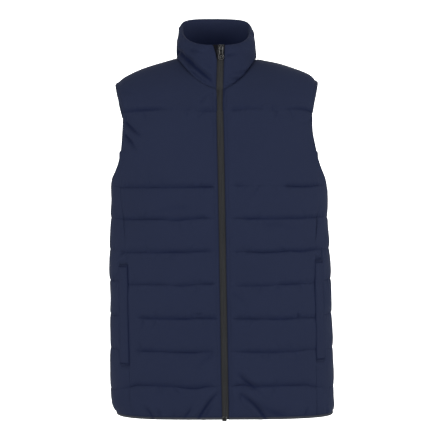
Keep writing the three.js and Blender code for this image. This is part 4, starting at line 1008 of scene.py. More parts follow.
def makeSide(side):
    grid, welt = sideGrid(side), welts[side]
    points, level, run = grid["points"], grid["level"], grid["run"]
    seed = 1000 if side > 0 else 1300
    underWelt = smooth(1 - (np.maximum(welt["bottom"] - level, level - welt["top"]) + 3) / 6)
    underWelt = underWelt * smooth((weltShape["reach"] + 4 - grid["front"]) / 8)
    courses = {index: sideCourse(side, index, run, run[0, -1]) for index in range(1, len(sideLines))}
    present = {index: clamp01(courses[index][1] / 0.6) * (1 - underWelt) for index in courses}
    puff, gathers, coreShade = quiltField(level, run, sideLines, seed, present, courses, weltShape["dip"])
    seamShare = [
        mix(quilting["sideFloor"], 1, risen(grid[key], quilting["sideReach"])) for key in ("front", "back")
    ]
    gathers = gathers * smooth(np.minimum(grid["top"], grid["front"]) / 12)
    shares = puff * seamShare[0] * seamShare[1] * edgeShare(grid["top"]) * edgeShare(level - sideLines[0])
    swell = quilting["swell"] * billow(run, level, seed + 3, 50, 140)
    relief = (cloth["puff"] + swell) * shares + gathers * shares ** 0.3
    folds, foldShade = creaseRelief(run, level, sideCreases[side])
    small, pinchShade = pinches(run, level, sideLines, seed + 7, 24, 190)
    relief = relief + folds * smooth(grid["front"] / 8) + small * shares
    relief = np.maximum(relief, 0.2)
    relief = turnedEdge(turnedEdge(relief, level - sideLines[0]), grid["top"], 0.5)
    beyond = np.maximum(np.maximum(welt["bottom"] - level, level - welt["top"]), 0)
    flat = smooth(1 - beyond / weltShape["fade"])
    flat = flat * smooth(1 - np.maximum(0, grid["front"] - weltShape["reach"]) / weltShape["fade"])
    relief = mix(relief, weltShape["under"], flat)
    # Painted shade along both seams, beside the welt, in the quilting lines and creases, and along the hem's
    # stitches
    seamDark = quilting["sideShade"] * np.maximum(bell(grid["front"], 1.6), bell(grid["back"], 1.6))
    weltDark = 0.1 * bell(grid["front"] - 17.5, 1.6) * (beyond <= 1)
    dark = np.maximum.reduce([coreShade * (1 - flat), foldShade, pinchShade, seamDark, weltDark])
    dark = np.maximum(dark, 0.7 * bell(level - sideLines[0] - quilting["beadWidth"], 1.1))
    band = 1 - smooth((level - sideLines[0] - quilting["beadWidth"] + 0.8) / 0.8)
    bound = 1 - smooth((grid["top"] - quilting["beadWidth"] + 0.8) / 0.8)
    marks = {"paintedShade": clamp01(dark), "edge": clamp01(np.maximum(band, 0.1 * bound))}
    normals = gridNormals(points)
    name = "side_cloth_left" if side > 0 else "side_cloth_right"
    made, outer = wall(name, points, normals, relief, False, side < 0, marks=marks)
    rowHeights = level[:, 0][:grid["lineRows"]]
    sewLines(outer, normals, sideLines, rowHeights, present, side < 0)
    hemRow = int(np.argmin(np.abs(rowHeights - sideLines[0] - quilting["beadWidth"])))
    sew(outer[hemRow], normals[hemRow], side < 0)
    topRow = int(np.argmin(np.abs(grid["top"][:, points.shape[1] // 2] - quilting["beadWidth"])))
    sew(outer[topRow], normals[topRow], side < 0)
    return made


def makeWelt(side):
    # A narrow band on the side panel's own surface, rounded at its edges, with a stitched border and painted
    # shade along its inner edge, its ends and its bar tacks
    welt = welts[side]
    rows = padToThirds(welt["bottom"] + gathered(welt["top"] - welt["bottom"], 60, 1.4))
    columns = padToThirds(gathered(weltShape["share"], 12, 1.3))
    height, across = np.meshgrid(rows, columns, indexing="ij")
    points = sideBase(height, across)
    normals = gridNormals(points)
    inner, outer = distanceTo(points, points[:, :1]), distanceTo(points, points[:, -1:])
    ends = np.minimum(height - welt["bottom"], welt["top"] - height)
    edge = np.minimum(np.minimum(inner, outer), ends)
    under = np.full(height.shape, weltShape["under"] + weltShape["clear"])
    low = mix(weltShape["edge"], weltShape["outerEdge"], smooth(1 - outer / 4))
    rise = mix(low, weltShape["thickness"], risen(edge, 2.2, 0.5))
    rise = rise - 0.4 * bell(edge - 2.6, 0.7) + 0.25 * ripple(height, 61 + side, (30, 70)) * smooth(edge / 4)
    rise = rise + 0.35 * np.sin(math.pi * clamp01(inner / np.maximum(inner + outer, 1e-6)))
    bar = bell(ends - 4.2, 1.6) * smooth(edge / 2)
    middle = bell((height - mix(welt["bottom"], welt["top"], 0.42)) / 60, 1)
    # Painted shade: dark along the inner edge where the welt meets the front, faint along the outer edge, and
    # at the ends and bar tacks
    inDark = (0.85 if side < 0 else 0.8) * bell(inner, mix(1.7, 2.8 if side < 0 else 1.9, middle))
    dark = np.maximum(inDark, 0.18 * np.maximum(bell(outer, 1.2), bell(edge - 2.6, 0.8)))
    dark = np.maximum(dark, 0.5 * bell(ends, 1.6) * smooth(1 - inner / (inner[0, -1] * 1.1)))
    marks = {"paintedShade": clamp01(np.maximum(dark, 0.55 * bar)), "edge": np.zeros(height.shape)}
    made, outerPoints = wall(welt["name"], points, normals, under + rise + 0.3 * bar, False, side < 0,
                             thickness=-under, marks=marks)
    width = inner[0, -1]
    place = np.array([np.argmin(np.abs(inner[0] - 2.6)), np.argmin(np.abs(inner[0] - width + 2.6))])
    high = [
        int(np.argmin(np.abs(rows - welt["bottom"] - 2.6))),
        int(np.argmin(np.abs(rows - welt["top"] + 2.6))),
    ]
    loopRows = slice(high[0], high[1] + 1)
    for column in place:
        sew(outerPoints[loopRows, column], normals[loopRows, column], side < 0)
    for row in high:
        sew(outerPoints[row, place[0]:place[1] + 1], normals[row, place[0]:place[1] + 1], side < 0)
    for end in (welt["bottom"] + 4.2, welt["top"] - 4.2):  # bar tacks: a short dense zigzag
        row = int(np.argmin(np.abs(rows - end)))
        line, facing = outerPoints[row, place[0]:place[1] + 1], normals[row, place[0]:place[1] + 1]
        zigzag = np.repeat(line, 3, axis=0)
        zigzag[:, 2] += np.resize([-0.9, 0.9], len(zigzag))
        sew(zigzag, np.repeat(facing, 3, axis=0), side < 0)
    return made


# The collar

collarShape = {
    "outside": [(0, 0.2), (0.03, 1.0), (0.08, 2.1), (0.17, 3.1), (0.32, 3.7), (0.55, 3.8), (0.76, 3.5),
                (0.9, 2.3), (0.985, -0.3)],
    "inside": [(1.0, -2.6), (0.975, -4.8), (0.86, -6.1), (0.56, -6.4), (0.26, -5.0), (0.06, -3.0), (0, -2.2)],
    "steps": 7, "columns": 118, "zipFade": 16, "edgeShare": 0.3, "seamLift": 0.1,
}
collarCreases = [  # seen from the front: distance from the middle (+ is the wearer's left) and height
    crease((-78, 13), (-16, -53), 6.4, 3.0, 5.6, -2.5, 0.4),
    crease((-46, -38), (-18, -60), 2.0, 1.0, 3.4, -2, 0.4),
    crease((-46, 3), (-31, -1), 2.2, 0.8, 2.8, 1),
    crease((20, -6), (36, -4), 2.4, 0.8, 2.6, 0.5),
    crease((36, 22), (32, 9), 2.2, 0.8, 2.6, 0),
    crease((58, -36), (22, -44), 1.4, 0.6, 3.6, -1),
    crease((40, -52), (22, -50), 1.6, 0.8, 4.0, 1),
    crease((-70, 44), (-62, 20), 1.2, 0.3, 5.0, 2),
    crease((66, 30), (70, -4), 1.2, 0.3, 5.0, 2),
    crease((-14, -30), (-30, -12), 1.0, 0.2, 4.0, 2),
]
collarBackCreases = [
    crease((-40, 30), (-10, 22), 1.6, 0.3, 4.0, 3),
    crease((50, 52), (18, 40), 1.5, 0.3, 4.6, 3),
    crease((-62, 8), (-34, 2), 1.6, 0.4, 3.6, 2),
    crease((64, 10), (30, 4), 1.8, 0.4, 3.8, -2),
]


def profileCurve(steps):
    # A Catmull-Rom curve up the outside of the collar's wall, over its rim and down the inside
    knots = np.array(collarShape["outside"] + collarShape["inside"], float)
    padded = np.concatenate([[2 * knots[0] - knots[1]], knots, [2 * knots[-1] - knots[-2]]])
    t = np.arange(steps) / steps
    curves = []
    for p0, p1, p2, p3 in zip(padded[:-3], padded[1:-2], padded[2:-1], padded[3:]):
        step = t[:, None]
        curves.append(0.5 * (2 * p1 + (p2 - p0) * step + (2 * p0 - 5 * p1 + 4 * p2 - p3) * step ** 2
                             + (3 * p1 - p0 - 3 * p2 + p3) * step ** 3))
    curve = np.concatenate(curves + [knots[-1:]])
    return np.clip(curve[:, 0], 0, 1), curve[:, 1]


def collarHalf(side, turns, ups, outs):
    turn, up = np.meshgrid(turns, ups, indexing="ij")
    step = 1e-3
    point = collarPoint(side, turn, up)
    high, low = np.minimum(up + step, 1), np.maximum(up - step, 0)
    along = collarPoint(side, turn + step, up) - collarPoint(side, turn - step, up)
    normal = unit(np.cross(along, collarPoint(side, turn, high) - collarPoint(side, turn, low)))
    outward = unit(point * [1, 1, 0] - [0, neck["centre"], 0])
    outward[..., 2] = mix(0.35, 1, smooth(turn / rightAngle))
    blend = 1 - smooth(up / 0.06)
    normal = unit(mix(normal, unit(outward), blend[..., None]))
    zipAway = distanceTo(point, collarPoint(side, np.full(turn.shape, neckStart(side)), up))
    share = mix(collarShape["edgeShare"], 1, risen(zipAway, collarShape["zipFade"], 0.75))
    isOutside = np.arange(len(ups)) <= collarShape["steps"] * len(collarShape["outside"]) - 1
    out = np.where(isOutside, outs * share, -cloth["ply"] + (outs + cloth["ply"]) * share)
    flip = [side, 1, 1]
    return point * flip, normal * flip, out, np.broadcast_to(isOutside, up.shape), up, zipAway


def makeCollar():
    ups, outs = profileCurve(collarShape["steps"])
    halves = {}
    for side in (-1, 1):
        start = neckStart(side)
        turns = start + (math.pi - start) * np.linspace(0, 1, collarShape["columns"]) ** 1.06
        halves[side] = collarHalf(side, turns, ups, outs)
    parts = [np.concatenate([a, b[::-1][1:]]) for a, b in zip(halves[-1], halves[1])]
    point, normal, out, isOutside, up, zipAway = parts
    x, y, z = np.moveaxis(point, -1, 0)
    run = np.cumsum(distanceTo(point, np.roll(point, 1, 0)) * (np.arange(len(point)) > 0)[:, None], axis=0)
    isFront = smooth((neck["centre"] + 12 - y) / 24)
    frontFolds, frontFoldShade = creaseRelief(x, z, collarCreases)
    backFolds, backFoldShade = creaseRelief(x, z, collarBackCreases)
    folds, foldShade = mix(backFolds, frontFolds, isFront), mix(backFoldShade, frontFoldShade, isFront)
    below = smooth((1 - up) / 0.12)
    awayZip = smooth(zipAway / 5)
    seamPinch = 0.7 * ripple(run, 2101, (9, 14, 22)) * bell(up - 0.07, 0.09) * awayZip * smooth(up / 0.03)
    swell = 1.0 * billow(run, z, 2107, 26, 80) * below * smooth(up / 0.2)
    inSwell = 0.8 * billow(run, z, 2203, 30, 90) * below * smooth(up / 0.2)
    rimPinch = 0.45 * ripple(run, 2301, (10, 16, 27)) * bell(up - 0.96, 0.08)
    outRelief = (folds * below * smooth(up / 0.05) + seamPinch + swell) * awayZip + rimPinch * awayZip
    relief = np.where(isOutside, outRelief, (inSwell + rimPinch) * awayZip)
    filled = 1.0 * bell(up, 0.07) * smooth((-18 - x) / 20) * isFront * isOutside
    points = point + normal * (out + relief + filled)[..., None]
    points[..., 2] += collarShape["seamLift"]
    rows, columns = out.shape
    quads = gridQuads(rows, columns)
    closing = np.arange(rows - 1)[:, None] * columns + [[columns - 1, 0, columns, 2 * columns - 1]]
    quads = np.concatenate([quads, closing])
    caps = [np.arange(columns)[::-1], (rows - 1) * columns + np.arange(columns)]
    tube = np.cumsum(distanceTo(points, np.roll(points, 1, 1)) * (np.arange(columns) > 0), axis=1)
    uv = np.stack([run, tube], -1).reshape(-1, 2) * 0.001
    # Painted shade: a dark band along the neck seam, strongest on one front, darker low down on the inside,
    # beside the zip and in the folds, and a faint darkening of the whole outside
    rightFront = smooth((x - 18) / 20) * isFront
    seamDark = mix(0.05, 0.9, rightFront) * bell(up, mix(0.035, 0.085, rightFront)) * isOutside
    inDark = 0.9 * (1 - isOutside) * clamp01((0.93 - up) / 0.55)
    zipDark = 0.5 * bell(zipAway, 1.2)
    dark = np.maximum.reduce(
        [seamDark, inDark, zipDark, foldShade * isOutside * below * awayZip, 0.1 * isOutside])
    marks = {"paintedShade": clamp01(dark).ravel(), "edge": np.zeros(dark.size)}
    return makeObject("collar_cloth", points.reshape(-1, 3), quads, None, uv, marks, polygon=caps)


# The zip: woven tapes with the coil turned to the inside, and the coil itself

tapeShape = {
    "bottom": -704.6, "tuck": 1.2, "pitch": 1.5, "rows": 3, "gap": 0.03, "apart": 1.4, "apartFrom": 4.6,
    "recess": 0.3, "ply": 1.3, "ridge": 2.1, "ridgeHeight": 1.1, "ribHeight": 0.16, "cordHeight": 0.18,
}


def makeTape(side):
    # A section carried up the zip: a ribbed ridge at the middle, the flat tape, and its edge turned back
    rowCount = int((zipLine["top"] - tapeShape["bottom"]) / tapeShape["pitch"] * tapeShape["rows"])
    rows = np.linspace(tapeShape["bottom"], zipLine["top"], rowCount + 1)
    ridge, height = tapeShape["ridge"], tapeShape["ridgeHeight"]
    apart = smooth((rows - tapeShape["apartFrom"] + 1.5) / 1.5)
    inner = mix(tapeShape["gap"], tapeShape["apart"], apart)
    shown = zipEdge(side, rows) - cloth["gap"] - side * zipCentre(rows)
    outer = shown + tapeShape["tuck"]
    rib = tapeShape["ribHeight"] * (1 - np.abs(np.sin(math.pi * rows / tapeShape["pitch"])) ** 1.5)
    across = [inner, inner + 0.1, inner + 0.5, inner + 1.1, inner + 1.7, inner + ridge, inner + ridge + 0.4]
    depth = [0.35, 0.85, 1.06, height, 1.04, 0.72, 0.08]
    ribs = [0.2, 0.7, 1, 1, 1, 0.8, 0.2]
    flat = outer - inner - ridge - 0.4
    for share, rise in ((0.3, 0.0), (0.7, 0.02), (0.84, tapeShape["cordHeight"]), (0.95, 0.1), (1.0, -0.2)):
        across.append(inner + ridge + 0.4 + flat * share)
        depth.append(rise)
        ribs.append(0)
    for share in (1.0, 0.5, 0.0):
        across.append(mix(inner, outer, share))
        depth.append(-tapeShape["ply"])
        ribs.append(0)
    x = np.stack(across, -1)
    out = np.array(depth)[None] - rib[:, None] * np.array(ribs)[None]
    y = tapeShape["recess"] - out - zipDepth(rows)[:, None]
    z = np.broadcast_to(rows[:, None], x.shape)
    points = np.stack([side * x + zipCentre(rows)[:, None], y, z], -1)
    count = x.shape[1]
    quads = gridQuads(len(rows), count)
    closing = np.arange(len(rows) - 1)[:, None] * count + [[count - 1, 0, count, 2 * count - 1]]
    quads = np.concatenate([quads, closing])
    caps = [np.arange(count)[::-1], (len(rows) - 1) * count + np.arange(count)]
    if side < 0:
        quads, caps = quads[:, ::-1], [cap[::-1] for cap in caps]
    uv = np.stack([x, z], -1).reshape(-1, 2) * 0.001
    # Painted shade: dark at the gap between the tapes, where the panel's edge meets the tape, and in the
    # hollow at the top of the zip beside the opening
    edge = np.maximum(
        0.45 * bell(x - inner[:, None], 0.5), 0.6 * bell(np.maximum(shown[:, None] - x, 0), 1.0))
    hollowShade = smooth((x - 6.0) / 1.2) * smooth((rows[:, None] + 22) / 8)
    marks = {"paintedShade": clamp01(np.maximum(edge, hollowShade)).ravel(), "edge": hollowShade.ravel()}
    name = "zip_tape_woven_left" if side > 0 else "zip_tape_woven_right"
    return makeObject(name, points.reshape(-1, 3), quads, None, uv, marks, polygon=caps)


def repeated(template, faces, centres, along, across, out):
    # Copies of a small closed shape: each of its corners is a centre plus shares of three directions
    u, v, w = template[:, 0], template[:, 1], template[:, 2]
    points = (centres[:, None] + along[:, None] * u[None, :, None] + across[:, None] * v[None, :, None]
              + out[:, None] * w[None, :, None])
    quads = np.array([face for face in faces if len(face) == 4], int)
    triangles = np.array([face for face in faces if len(face) == 3], int)
    shift = np.arange(len(centres))[:, None, None] * len(template)
    return (
        points.reshape(-1, 3),
        (quads[None] + shift).reshape(-1, 4),
        (triangles[None] + shift).reshape(-1, 3),
    )


# A slim grain with four sides and pointed ends, one unit long and about one unit thick
grainRing = [(0.5, 0), (0, 0.5), (-0.5, 0), (0, -0.5)]
grain = np.array([[-0.5, 0, 0]] + [[u, v, w] for u in (-0.3, 0.3) for v, w in grainRing] + [[0.5, 0, 0]])
grainFaces = ([[0, 2, 1], [0, 3, 2], [0, 4, 3], [0, 1, 4]]
              + [[1, 2, 6, 5], [2, 3, 7, 6], [3, 4, 8, 7], [4, 1, 5, 8]]
              + [[9, 5, 6], [9, 6, 7], [9, 7, 8], [9, 8, 5]])


def makeCoil():
    # One grain for each turn of the coil, lying across the back of the ridges, alternately from each side
    rows = np.arange(tapeShape["bottom"] + 0.6, tapeShape["apartFrom"] - 6, tapeShape["pitch"] / 2)
    side = np.where(np.arange(len(rows)) % 2 == 0, 1.0, -1.0)
    y = tapeShape["recess"] + tapeShape["ply"] + 0.35 - zipDepth(rows)
    centres = np.stack([zipCentre(rows) + side * 0.75, y, rows], -1)
    along = np.tile([4.2, 0, 0], (len(rows), 1)) + side[:, None] * [0, 0, 0.25]
    across, out = np.tile([0, 0, 0.74], (len(rows), 1)), np.tile([0, -0.9, 0], (len(rows), 1))
    points, quads, triangles = repeated(grain, grainFaces, centres, along, across, out)
    return makeObject("zip_coil", points, quads, triangles)


# The sewing: one grain for each stitch, along every run that the panels have noted

thread = {"pitch": 3.4, "length": 2.7, "thickness": 0.45, "lift": 0.04}


def makeStitching():
    centres, along, across, out = [], [], [], []
    for points, normals in stitches:
        if len(points) < 3:
            continue
        away = np.concatenate([[0], np.cumsum(np.linalg.norm(np.diff(points, axis=0), axis=1))])
        count = int(away[-1] / thread["pitch"])
        if count < 1:
            continue
        middle = (np.arange(count) + 0.5) * away[-1] / count
        def at(distance, values):
            return np.stack([np.interp(distance, away, values[:, axis]) for axis in range(3)], -1)
        facing = unit(at(middle, normals))
        ahead = unit(at(middle + 1, points) - at(middle - 1, points))
        centres.append(at(middle, points) + facing * thread["lift"])
        along.append(ahead * thread["length"])
        across.append(unit(np.cross(facing, ahead)) * thread["thickness"])
        out.append(facing * thread["thickness"])
    parts = [np.concatenate(part) for part in (centres, along, across, out)]
    points, quads, triangles = repeated(grain, grainFaces, *parts)
    print("sewing:", len(parts[0]), "stitches")
    return makeObject("stitching", points, quads, triangles)


# The metal: copies of the frame's own slider, pull tab and foot, with their edges softened

metalShape = {"zip_slider": 0.34, "zip_pull": 0.4, "zip_foot": 0.45}


def makeMetal(node):
    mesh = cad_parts[node].data.copy()
    work = bmesh.new()
    work.from_mesh(mesh)
    bmesh.ops.remove_doubles(work, verts=work.verts, dist=2e-6)
    bmesh.ops.dissolve_limit(work, angle_limit=math.radians(2), verts=work.verts, edges=work.edges)
    bmesh.ops.recalc_face_normals(work, faces=work.faces)
    work.to_mesh(mesh)
    work.free()
    mesh.materials.clear()
    made = bpy.data.objects.new(node + "_metal", mesh)
    bpy.context.scene.collection.objects.link(made)
    # The bevels take the second material, the lighter edge metal: partly wear, partly painted highlight
    bevel = made.modifiers.new("soft edges", "BEVEL")
    bevel.width, bevel.segments, bevel.limit_method = metalShape[node] * 0.001, 2, "ANGLE"
    bevel.angle_limit, bevel.use_clamp_overlap, bevel.material = math.radians(28), True, 1
    mesh.polygons.foreach_set("use_smooth", np.ones(len(mesh.polygons), bool))
    weighted = made.modifiers.new("weighted normals", "WEIGHTED_NORMAL")
    weighted.keep_sharp = True
    return made


# Finishes

class Signal:
    # A shader socket that takes Python's own arithmetic; each operation adds its Math node
    def __init__(self, finish, socket):
        self.finish, self.socket = finish, socket

    def __add__(self, other):
        return self.finish.maths("ADD", self, other)

    def __mul__(self, other):
        return self.finish.maths("MULTIPLY", self, other)

    def __sub__(self, other):
        return self.finish.maths("SUBTRACT", self, other)

    def __rsub__(self, other):
        return self.finish.maths("SUBTRACT", other, self)

    __radd__, __rmul__ = __add__, __mul__


class Finish:
    # One material: its shader's fixed values are set straight on it, and signals feed the rest
    def __init__(self, name, **fixed):
        self.material = bpy.data.materials.new(name)
        self.material.use_nodes = True
        self.tree = self.material.node_tree
        self.shader = self.tree.nodes["Principled BSDF"]
        for socket, value in fixed.items():
            self.shader.inputs[socket.replace("_", " ")].default_value = value

    def node(self, kind, settings=None, sockets=None, output=0):
        made = self.tree.nodes.new(kind)
        for key, value in (settings or {}).items():
            setattr(made, key, value)
        for key, value in (sockets or {}).items():
            self.feed(made.inputs[key], value)
        return Signal(self, made.outputs[output])

    def feed(self, socket, value):
        if isinstance(value, Signal):
            self.tree.links.new(value.socket, socket)
        else:
            socket.default_value = value

    def maths(self, operation, *values):
        return self.node("ShaderNodeMath", {"operation": operation}, dict(enumerate(values)))

    def clamped(self, value):
        return self.node("ShaderNodeClamp", None, {0: value})

    def blend(self, share, first, second):
        return self.node("ShaderNodeMix", {"data_type": "RGBA"}, {0: share, 6: first, 7: second}, 2)

    def noise(self, place, scale, detail=3.0, roughness=0.5):
        return self.node("ShaderNodeTexNoise", None,
                         {"Vector": place, "Scale": scale, "Detail": detail, "Roughness": roughness})

    def mark(self, name):
        return self.node("ShaderNodeAttribute", {"attribute_name": name}, None, "Fac")

    def place(self):
        return self.node("ShaderNodeTexCoord", None, None, "Object")

    def mapAxes(self):
        layer = self.node("ShaderNodeUVMap", {"uv_map": "clothMap"})
        split = self.node("ShaderNodeSeparateXYZ", None, {0: layer})
        return split, Signal(self, split.socket.node.outputs[1])

    def bump(self, height, strength, distance):
        given = {"Height": height, "Strength": strength, "Distance": distance}
        made = self.node("ShaderNodeBump", None, given)
        self.feed(self.shader.inputs["Normal"], made)

    def set(self, socket, value):
        self.feed(self.shader.inputs[socket], value)


# navy and pale are the cloth's own tone; the dark blue after them is the colour of painted shade, mixed in by
# the mark along seams, quilting lines and creases; edge is a greyer colour for the hem band
shellLook = {
    "navy": (0.0081, 0.0111, 0.0257, 1), "pale": (0.0107, 0.0142, 0.0305, 1),
    "paintedShade": (0.0022, 0.0042, 0.0170, 1), "edge": (0.0260, 0.0280, 0.0330, 1),
    "paintedShadeShare": 0.8, "threadWidth": 0.0005,
}


def makeShellCloth():
    # Fine plain-woven nylon: a tight weave, a faint crinkle over the wadding, and painted shade in its seams,
    # quilting lines, creases and collar
    finish = Finish("navy_shell_cloth", Specular_IOR_Level=0.035, Sheen_Weight=0.012, Sheen_Roughness=0.5,
                    Sheen_Tint=(0.72, 0.8, 1.0, 1))
    place = finish.place()
    u, v = finish.mapAxes()
    paintedShade, edge = finish.mark("paintedShade"), finish.mark("edge")
    turn = 2 * math.pi / shellLook["threadWidth"]
    warp, weft = finish.maths("SINE", u * turn), finish.maths("SINE", v * turn)
    weave = warp * weft
    broad = finish.noise(place, 7.0, 2.0)
    crinkle = finish.noise(place, 95.0, 4.0, 0.62)
    fine = finish.noise(place, 420.0, 2.0)
    slub = finish.node("ShaderNodeTexNoise", None, {
        "Vector": finish.node("ShaderNodeMapping", None, {"Vector": place, "Scale": (90.0, 90.0, 900.0)}),
        "Scale": 1.0, "Detail": 2.0})
    shade = finish.clamped(0.5 * broad + 0.3 * slub + 0.25 * weave - 0.1 * fine + 0.08)
    colour = finish.blend(shade, shellLook["navy"], shellLook["pale"])
    colour = finish.blend(edge, colour, shellLook["edge"])
    colour = finish.blend(finish.clamped(paintedShade * shellLook["paintedShadeShare"]), colour, shellLook["paintedShade"])
    finish.set("Base Color", colour)
    finish.set("Roughness", 0.66 + 0.14 * broad + 0.06 * fine + 0.1 * paintedShade)
    finish.bump(0.5 * crinkle + 0.10 * fine + 0.05 * weave, 0.32, 0.0011)
    return finish.material


def makeTapeCloth():
    # Olive-black zip tape in a fine herringbone: slanting ribs whose slant turns over every 1.6 mm
    finish = Finish("zip_tape_cloth", Specular_IOR_Level=0.07)
    place = finish.place()
    u, v = finish.mapAxes()
    zigzag = finish.maths("PINGPONG", u, 0.0016)
    ribs = finish.maths("SINE", (v + zigzag) * (2 * math.pi / 0.0009))
    broad = finish.noise(place, 40.0, 2.0)
    paintedShade = finish.mark("paintedShade")
    colour = finish.blend(finish.clamped(0.5 + 0.22 * ribs + 0.3 * (broad - 0.5)),
                          (0.0130, 0.0133, 0.0137, 1), (0.0229, 0.0234, 0.0242, 1))
    # Painted shade: dark navy at the tapes' gap and at their edges by the panels, and near black in the
    # hollow at the top of the zip
    colour = finish.blend(finish.clamped(0.96 * paintedShade), colour, (0.0040, 0.0044, 0.0100, 1))
    finish.set("Base Color", finish.blend(finish.mark("edge"), colour, (0.0012, 0.0014, 0.0026, 1)))
    finish.set("Roughness", 0.7 + 0.12 * broad)
    finish.bump(0.6 * ribs + 0.4 * broad, 0.35, 0.0003)
    return finish.material


def makeCoilPlastic():
    finish = Finish("zip_coil_plastic", Specular_IOR_Level=0.45)
    broad = finish.noise(finish.place(), 220.0, 2.0)
    finish.set("Base Color", finish.blend(broad, (0.010, 0.010, 0.011, 1), (0.020, 0.020, 0.021, 1)))
    finish.set("Roughness", 0.34 + 0.14 * broad)
    return finish.material


def makeGunmetal(name, dark, light, low, high):
    # Plated metal: cloudy plating, fine rubbed scratches along it, and a duller bloom
    finish = Finish(name, Metallic=1.0)
    place = finish.place()
    cloud = finish.noise(place, 260.0, 3.0)
    rubbed = finish.node("ShaderNodeTexNoise", None, {
        "Vector": finish.node("ShaderNodeMapping", None, {"Vector": place, "Scale": (5200.0, 900.0, 380.0)}),
        "Scale": 1.0, "Detail": 4.0, "Roughness": 0.7})
    finish.set("Base Color", finish.blend(finish.clamped(0.55 * cloud + 0.45 * rubbed), dark, light))
    finish.set("Roughness", low + (high - low) * cloud + 0.1 * rubbed)
    finish.bump(rubbed, 0.18, 0.00012)
    return finish.material


def makeThread():
    # Twisted polyester thread: slanting plies along each stitch
    finish = Finish("navy_thread", Specular_IOR_Level=0.05)
    place = finish.place()
    twist = finish.node("ShaderNodeTexWave", {"bands_direction": "DIAGONAL"},
                        {"Vector": place, "Scale": 900.0, "Distortion": 1.5})
    broad = finish.noise(place, 30.0, 2.0)
    finish.set("Base Color", finish.blend(finish.clamped(0.6 * twist + 0.4 * broad),
                                          (0.0040, 0.0060, 0.0180, 1), (0.0070, 0.0100, 0.0270, 1)))
    finish.set("Roughness", 0.55 + 0.15 * broad)
    finish.bump(twist, 0.3, 0.0002)
    return finish.material


def makeFloorPaint(name, glow):
    finish = Finish(name, Specular_IOR_Level=0.1, Emission_Color=(1, 1, 1, 1), Emission_Strength=glow)
    broad = finish.noise(finish.place(), 1.4, 2.0)
    finish.set("Base Color", finish.blend(broad, (0.92, 0.92, 0.92, 1), (0.95, 0.95, 0.95, 1)))
    finish.set("Roughness", 0.8 + 0.1 * broad)
    return finish.material


# Put together

pieces = {}
pieces["front_left"], pieces["front_right"] = makeFront(1), makeFront(-1)
pieces["back"] = makeBack()
print("fronts and back made")
pieces["side_left"], pieces["side_right"] = makeSide(1), makeSide(-1)
for side in (-1, 1):
    pieces[welts[side]["node"]] = makeWelt(side)
pieces["collar"] = makeCollar()
print("sides, welts and collar made")
pieces["zip_tape_left"], pieces["zip_tape_right"] = makeTape(1), makeTape(-1)
coil, stitching = makeCoil(), makeStitching()
for node in metalShape:
    pieces[node] = makeMetal(node)
print("zip, sewing and metal made")

shell, tape, threadFinish = makeShellCloth(), makeTapeCloth(), makeThread()
gunmetal = makeGunmetal("gunmetal", (0.0060, 0.0062, 0.0066, 1), (0.0140, 0.0142, 0.0145, 1), 0.3, 0.46)
# Lighter metal for the bevelled edges: partly rubbed plating, partly a painted highlight along the edges
wornAndHighlit = makeGunmetal("gunmetal_worn_and_highlit_edges", (0.105, 0.107, 0.109, 1), (0.210, 0.210, 0.207, 1), 0.22, 0.36)
steel = makeGunmetal("rubbed_steel", (0.010, 0.010, 0.0102, 1), (0.024, 0.024, 0.0238, 1), 0.36, 0.5)
for node, made in pieces.items():
    isMetal, isTape = node in metalShape, node.startswith("zip_tape")
    metal = steel if node == "zip_foot" else gunmetal
    made.data.materials.append(metal if isMetal else tape if isTape else shell)
    if isMetal:
        made.data.materials.append(wornAndHighlit)
    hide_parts(node)
    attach(made, "pull" if node == "zip_pull" else "vest")
coil.data.materials.append(makeCoilPlastic())
stitching.data.materials.append(threadFinish)
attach(coil, "vest")
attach(stitching, "vest")


# Camera, floor and light

view = {"target": (0.007, 0, -0.324), "distance": 2.5, "azimuth": -1.5, "lens": 102.3}
turn = math.radians(view["azimuth"])
back = Vector((math.sin(turn), -math.cos(turn), 0))
camera = bpy.data.objects.new("camera", bpy.data.cameras.new("camera"))
camera.data.lens, camera.data.sensor_width = view["lens"], 36
camera.data.clip_start, camera.data.clip_end = 0.05, 60
camera.location = Vector(view["target"]) + back * view["distance"]
camera.rotation_euler = (-back).to_track_quat("-Z", "Y").to_euler()
bpy.context.scene.collection.objects.link(camera)
bpy.context.scene.camera = camera
bpy.context.scene.view_settings.view_transform = "Standard"

# Seamless paper behind the vest: a lit strip of floor, a quarter circle, then straight up
sweep = {"near": 1.0, "bend": 1.6, "height": 1.9, "floor": -1.0, "radius": 1.4, "width": 2.5}


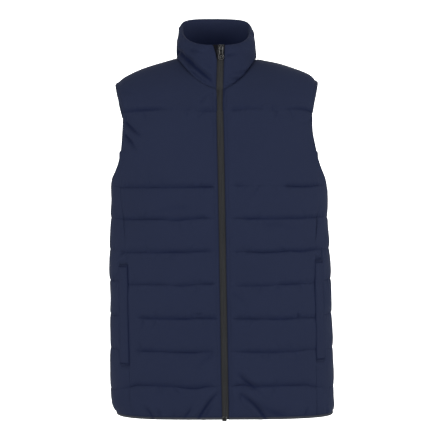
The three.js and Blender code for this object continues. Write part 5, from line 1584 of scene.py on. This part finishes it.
def makeSweep():
    bend = np.linspace(0, rightAngle, 25)
    low, radius = sweep["floor"], sweep["radius"]
    y = np.concatenate([[sweep["near"]], sweep["bend"] + radius * np.sin(bend), [sweep["bend"] + radius]])
    z = np.concatenate([[low], low + radius * (1 - np.cos(bend)), [sweep["height"]]])
    x = np.linspace(-sweep["width"] / 2, sweep["width"] / 2, 9)
    points = np.stack([np.broadcast_to(x, (len(y), len(x))), np.repeat(y[:, None], len(x), 1),
                       np.repeat(z[:, None], len(x), 1)], -1)
    made = makeObject("sweep", points.reshape(-1, 3) * 1000, gridQuads(*points.shape[:2]))
    made.data.materials.append(makeFloorPaint("lit_paper", 0.75))


makeSweep()
floorSpot = (0, 0, sweep["floor"] - 0.004)
bpy.ops.mesh.primitive_circle_add(vertices=96, radius=9, fill_type="NGON", location=floorSpot)
floor = bpy.context.object
floor.name = "floor"
floor.data.materials.append(makeFloorPaint("pale_floor", 0.0))

lights = {  # where each soft panel of light stands, its size, power and tint
    "key": ((0.6, -3.0, 1.0), 2.2, 46.5, (1.0, 0.99, 0.98)),
    "sideRight": ((2.6, -1.5, 0.2), 1.8, 76, (0.99, 0.995, 1.0)),
    "sideLeft": ((-2.6, -1.7, 0.2), 1.8, 83, (0.99, 0.995, 1.0)),
    "top": ((0.0, -0.4, 2.8), 1.8, 16, (0.98, 0.99, 1.0)),
    "back": ((0.4, 2.4, 1.5), 1.6, 16, (0.98, 0.99, 1.0)),
}
for name, (place, size, power, colour) in lights.items():
    lamp = bpy.data.lights.new(name, "AREA")
    lamp.size, lamp.energy, lamp.color = size, power, colour
    made = bpy.data.objects.new(name, lamp)
    made.location = place
    made.rotation_euler = (Vector((0, 0, -0.3)) - Vector(place)).to_track_quat("-Z", "Y").to_euler()
    bpy.context.scene.collection.objects.link(made)
world = bpy.data.worlds.new("soft white studio")
bpy.context.scene.world = world
world.use_nodes = True
world.node_tree.nodes["Background"].inputs["Color"].default_value = (1, 1, 1, 1)
world.node_tree.nodes["Background"].inputs["Strength"].default_value = 0.5
print("camera, floor and light placed")
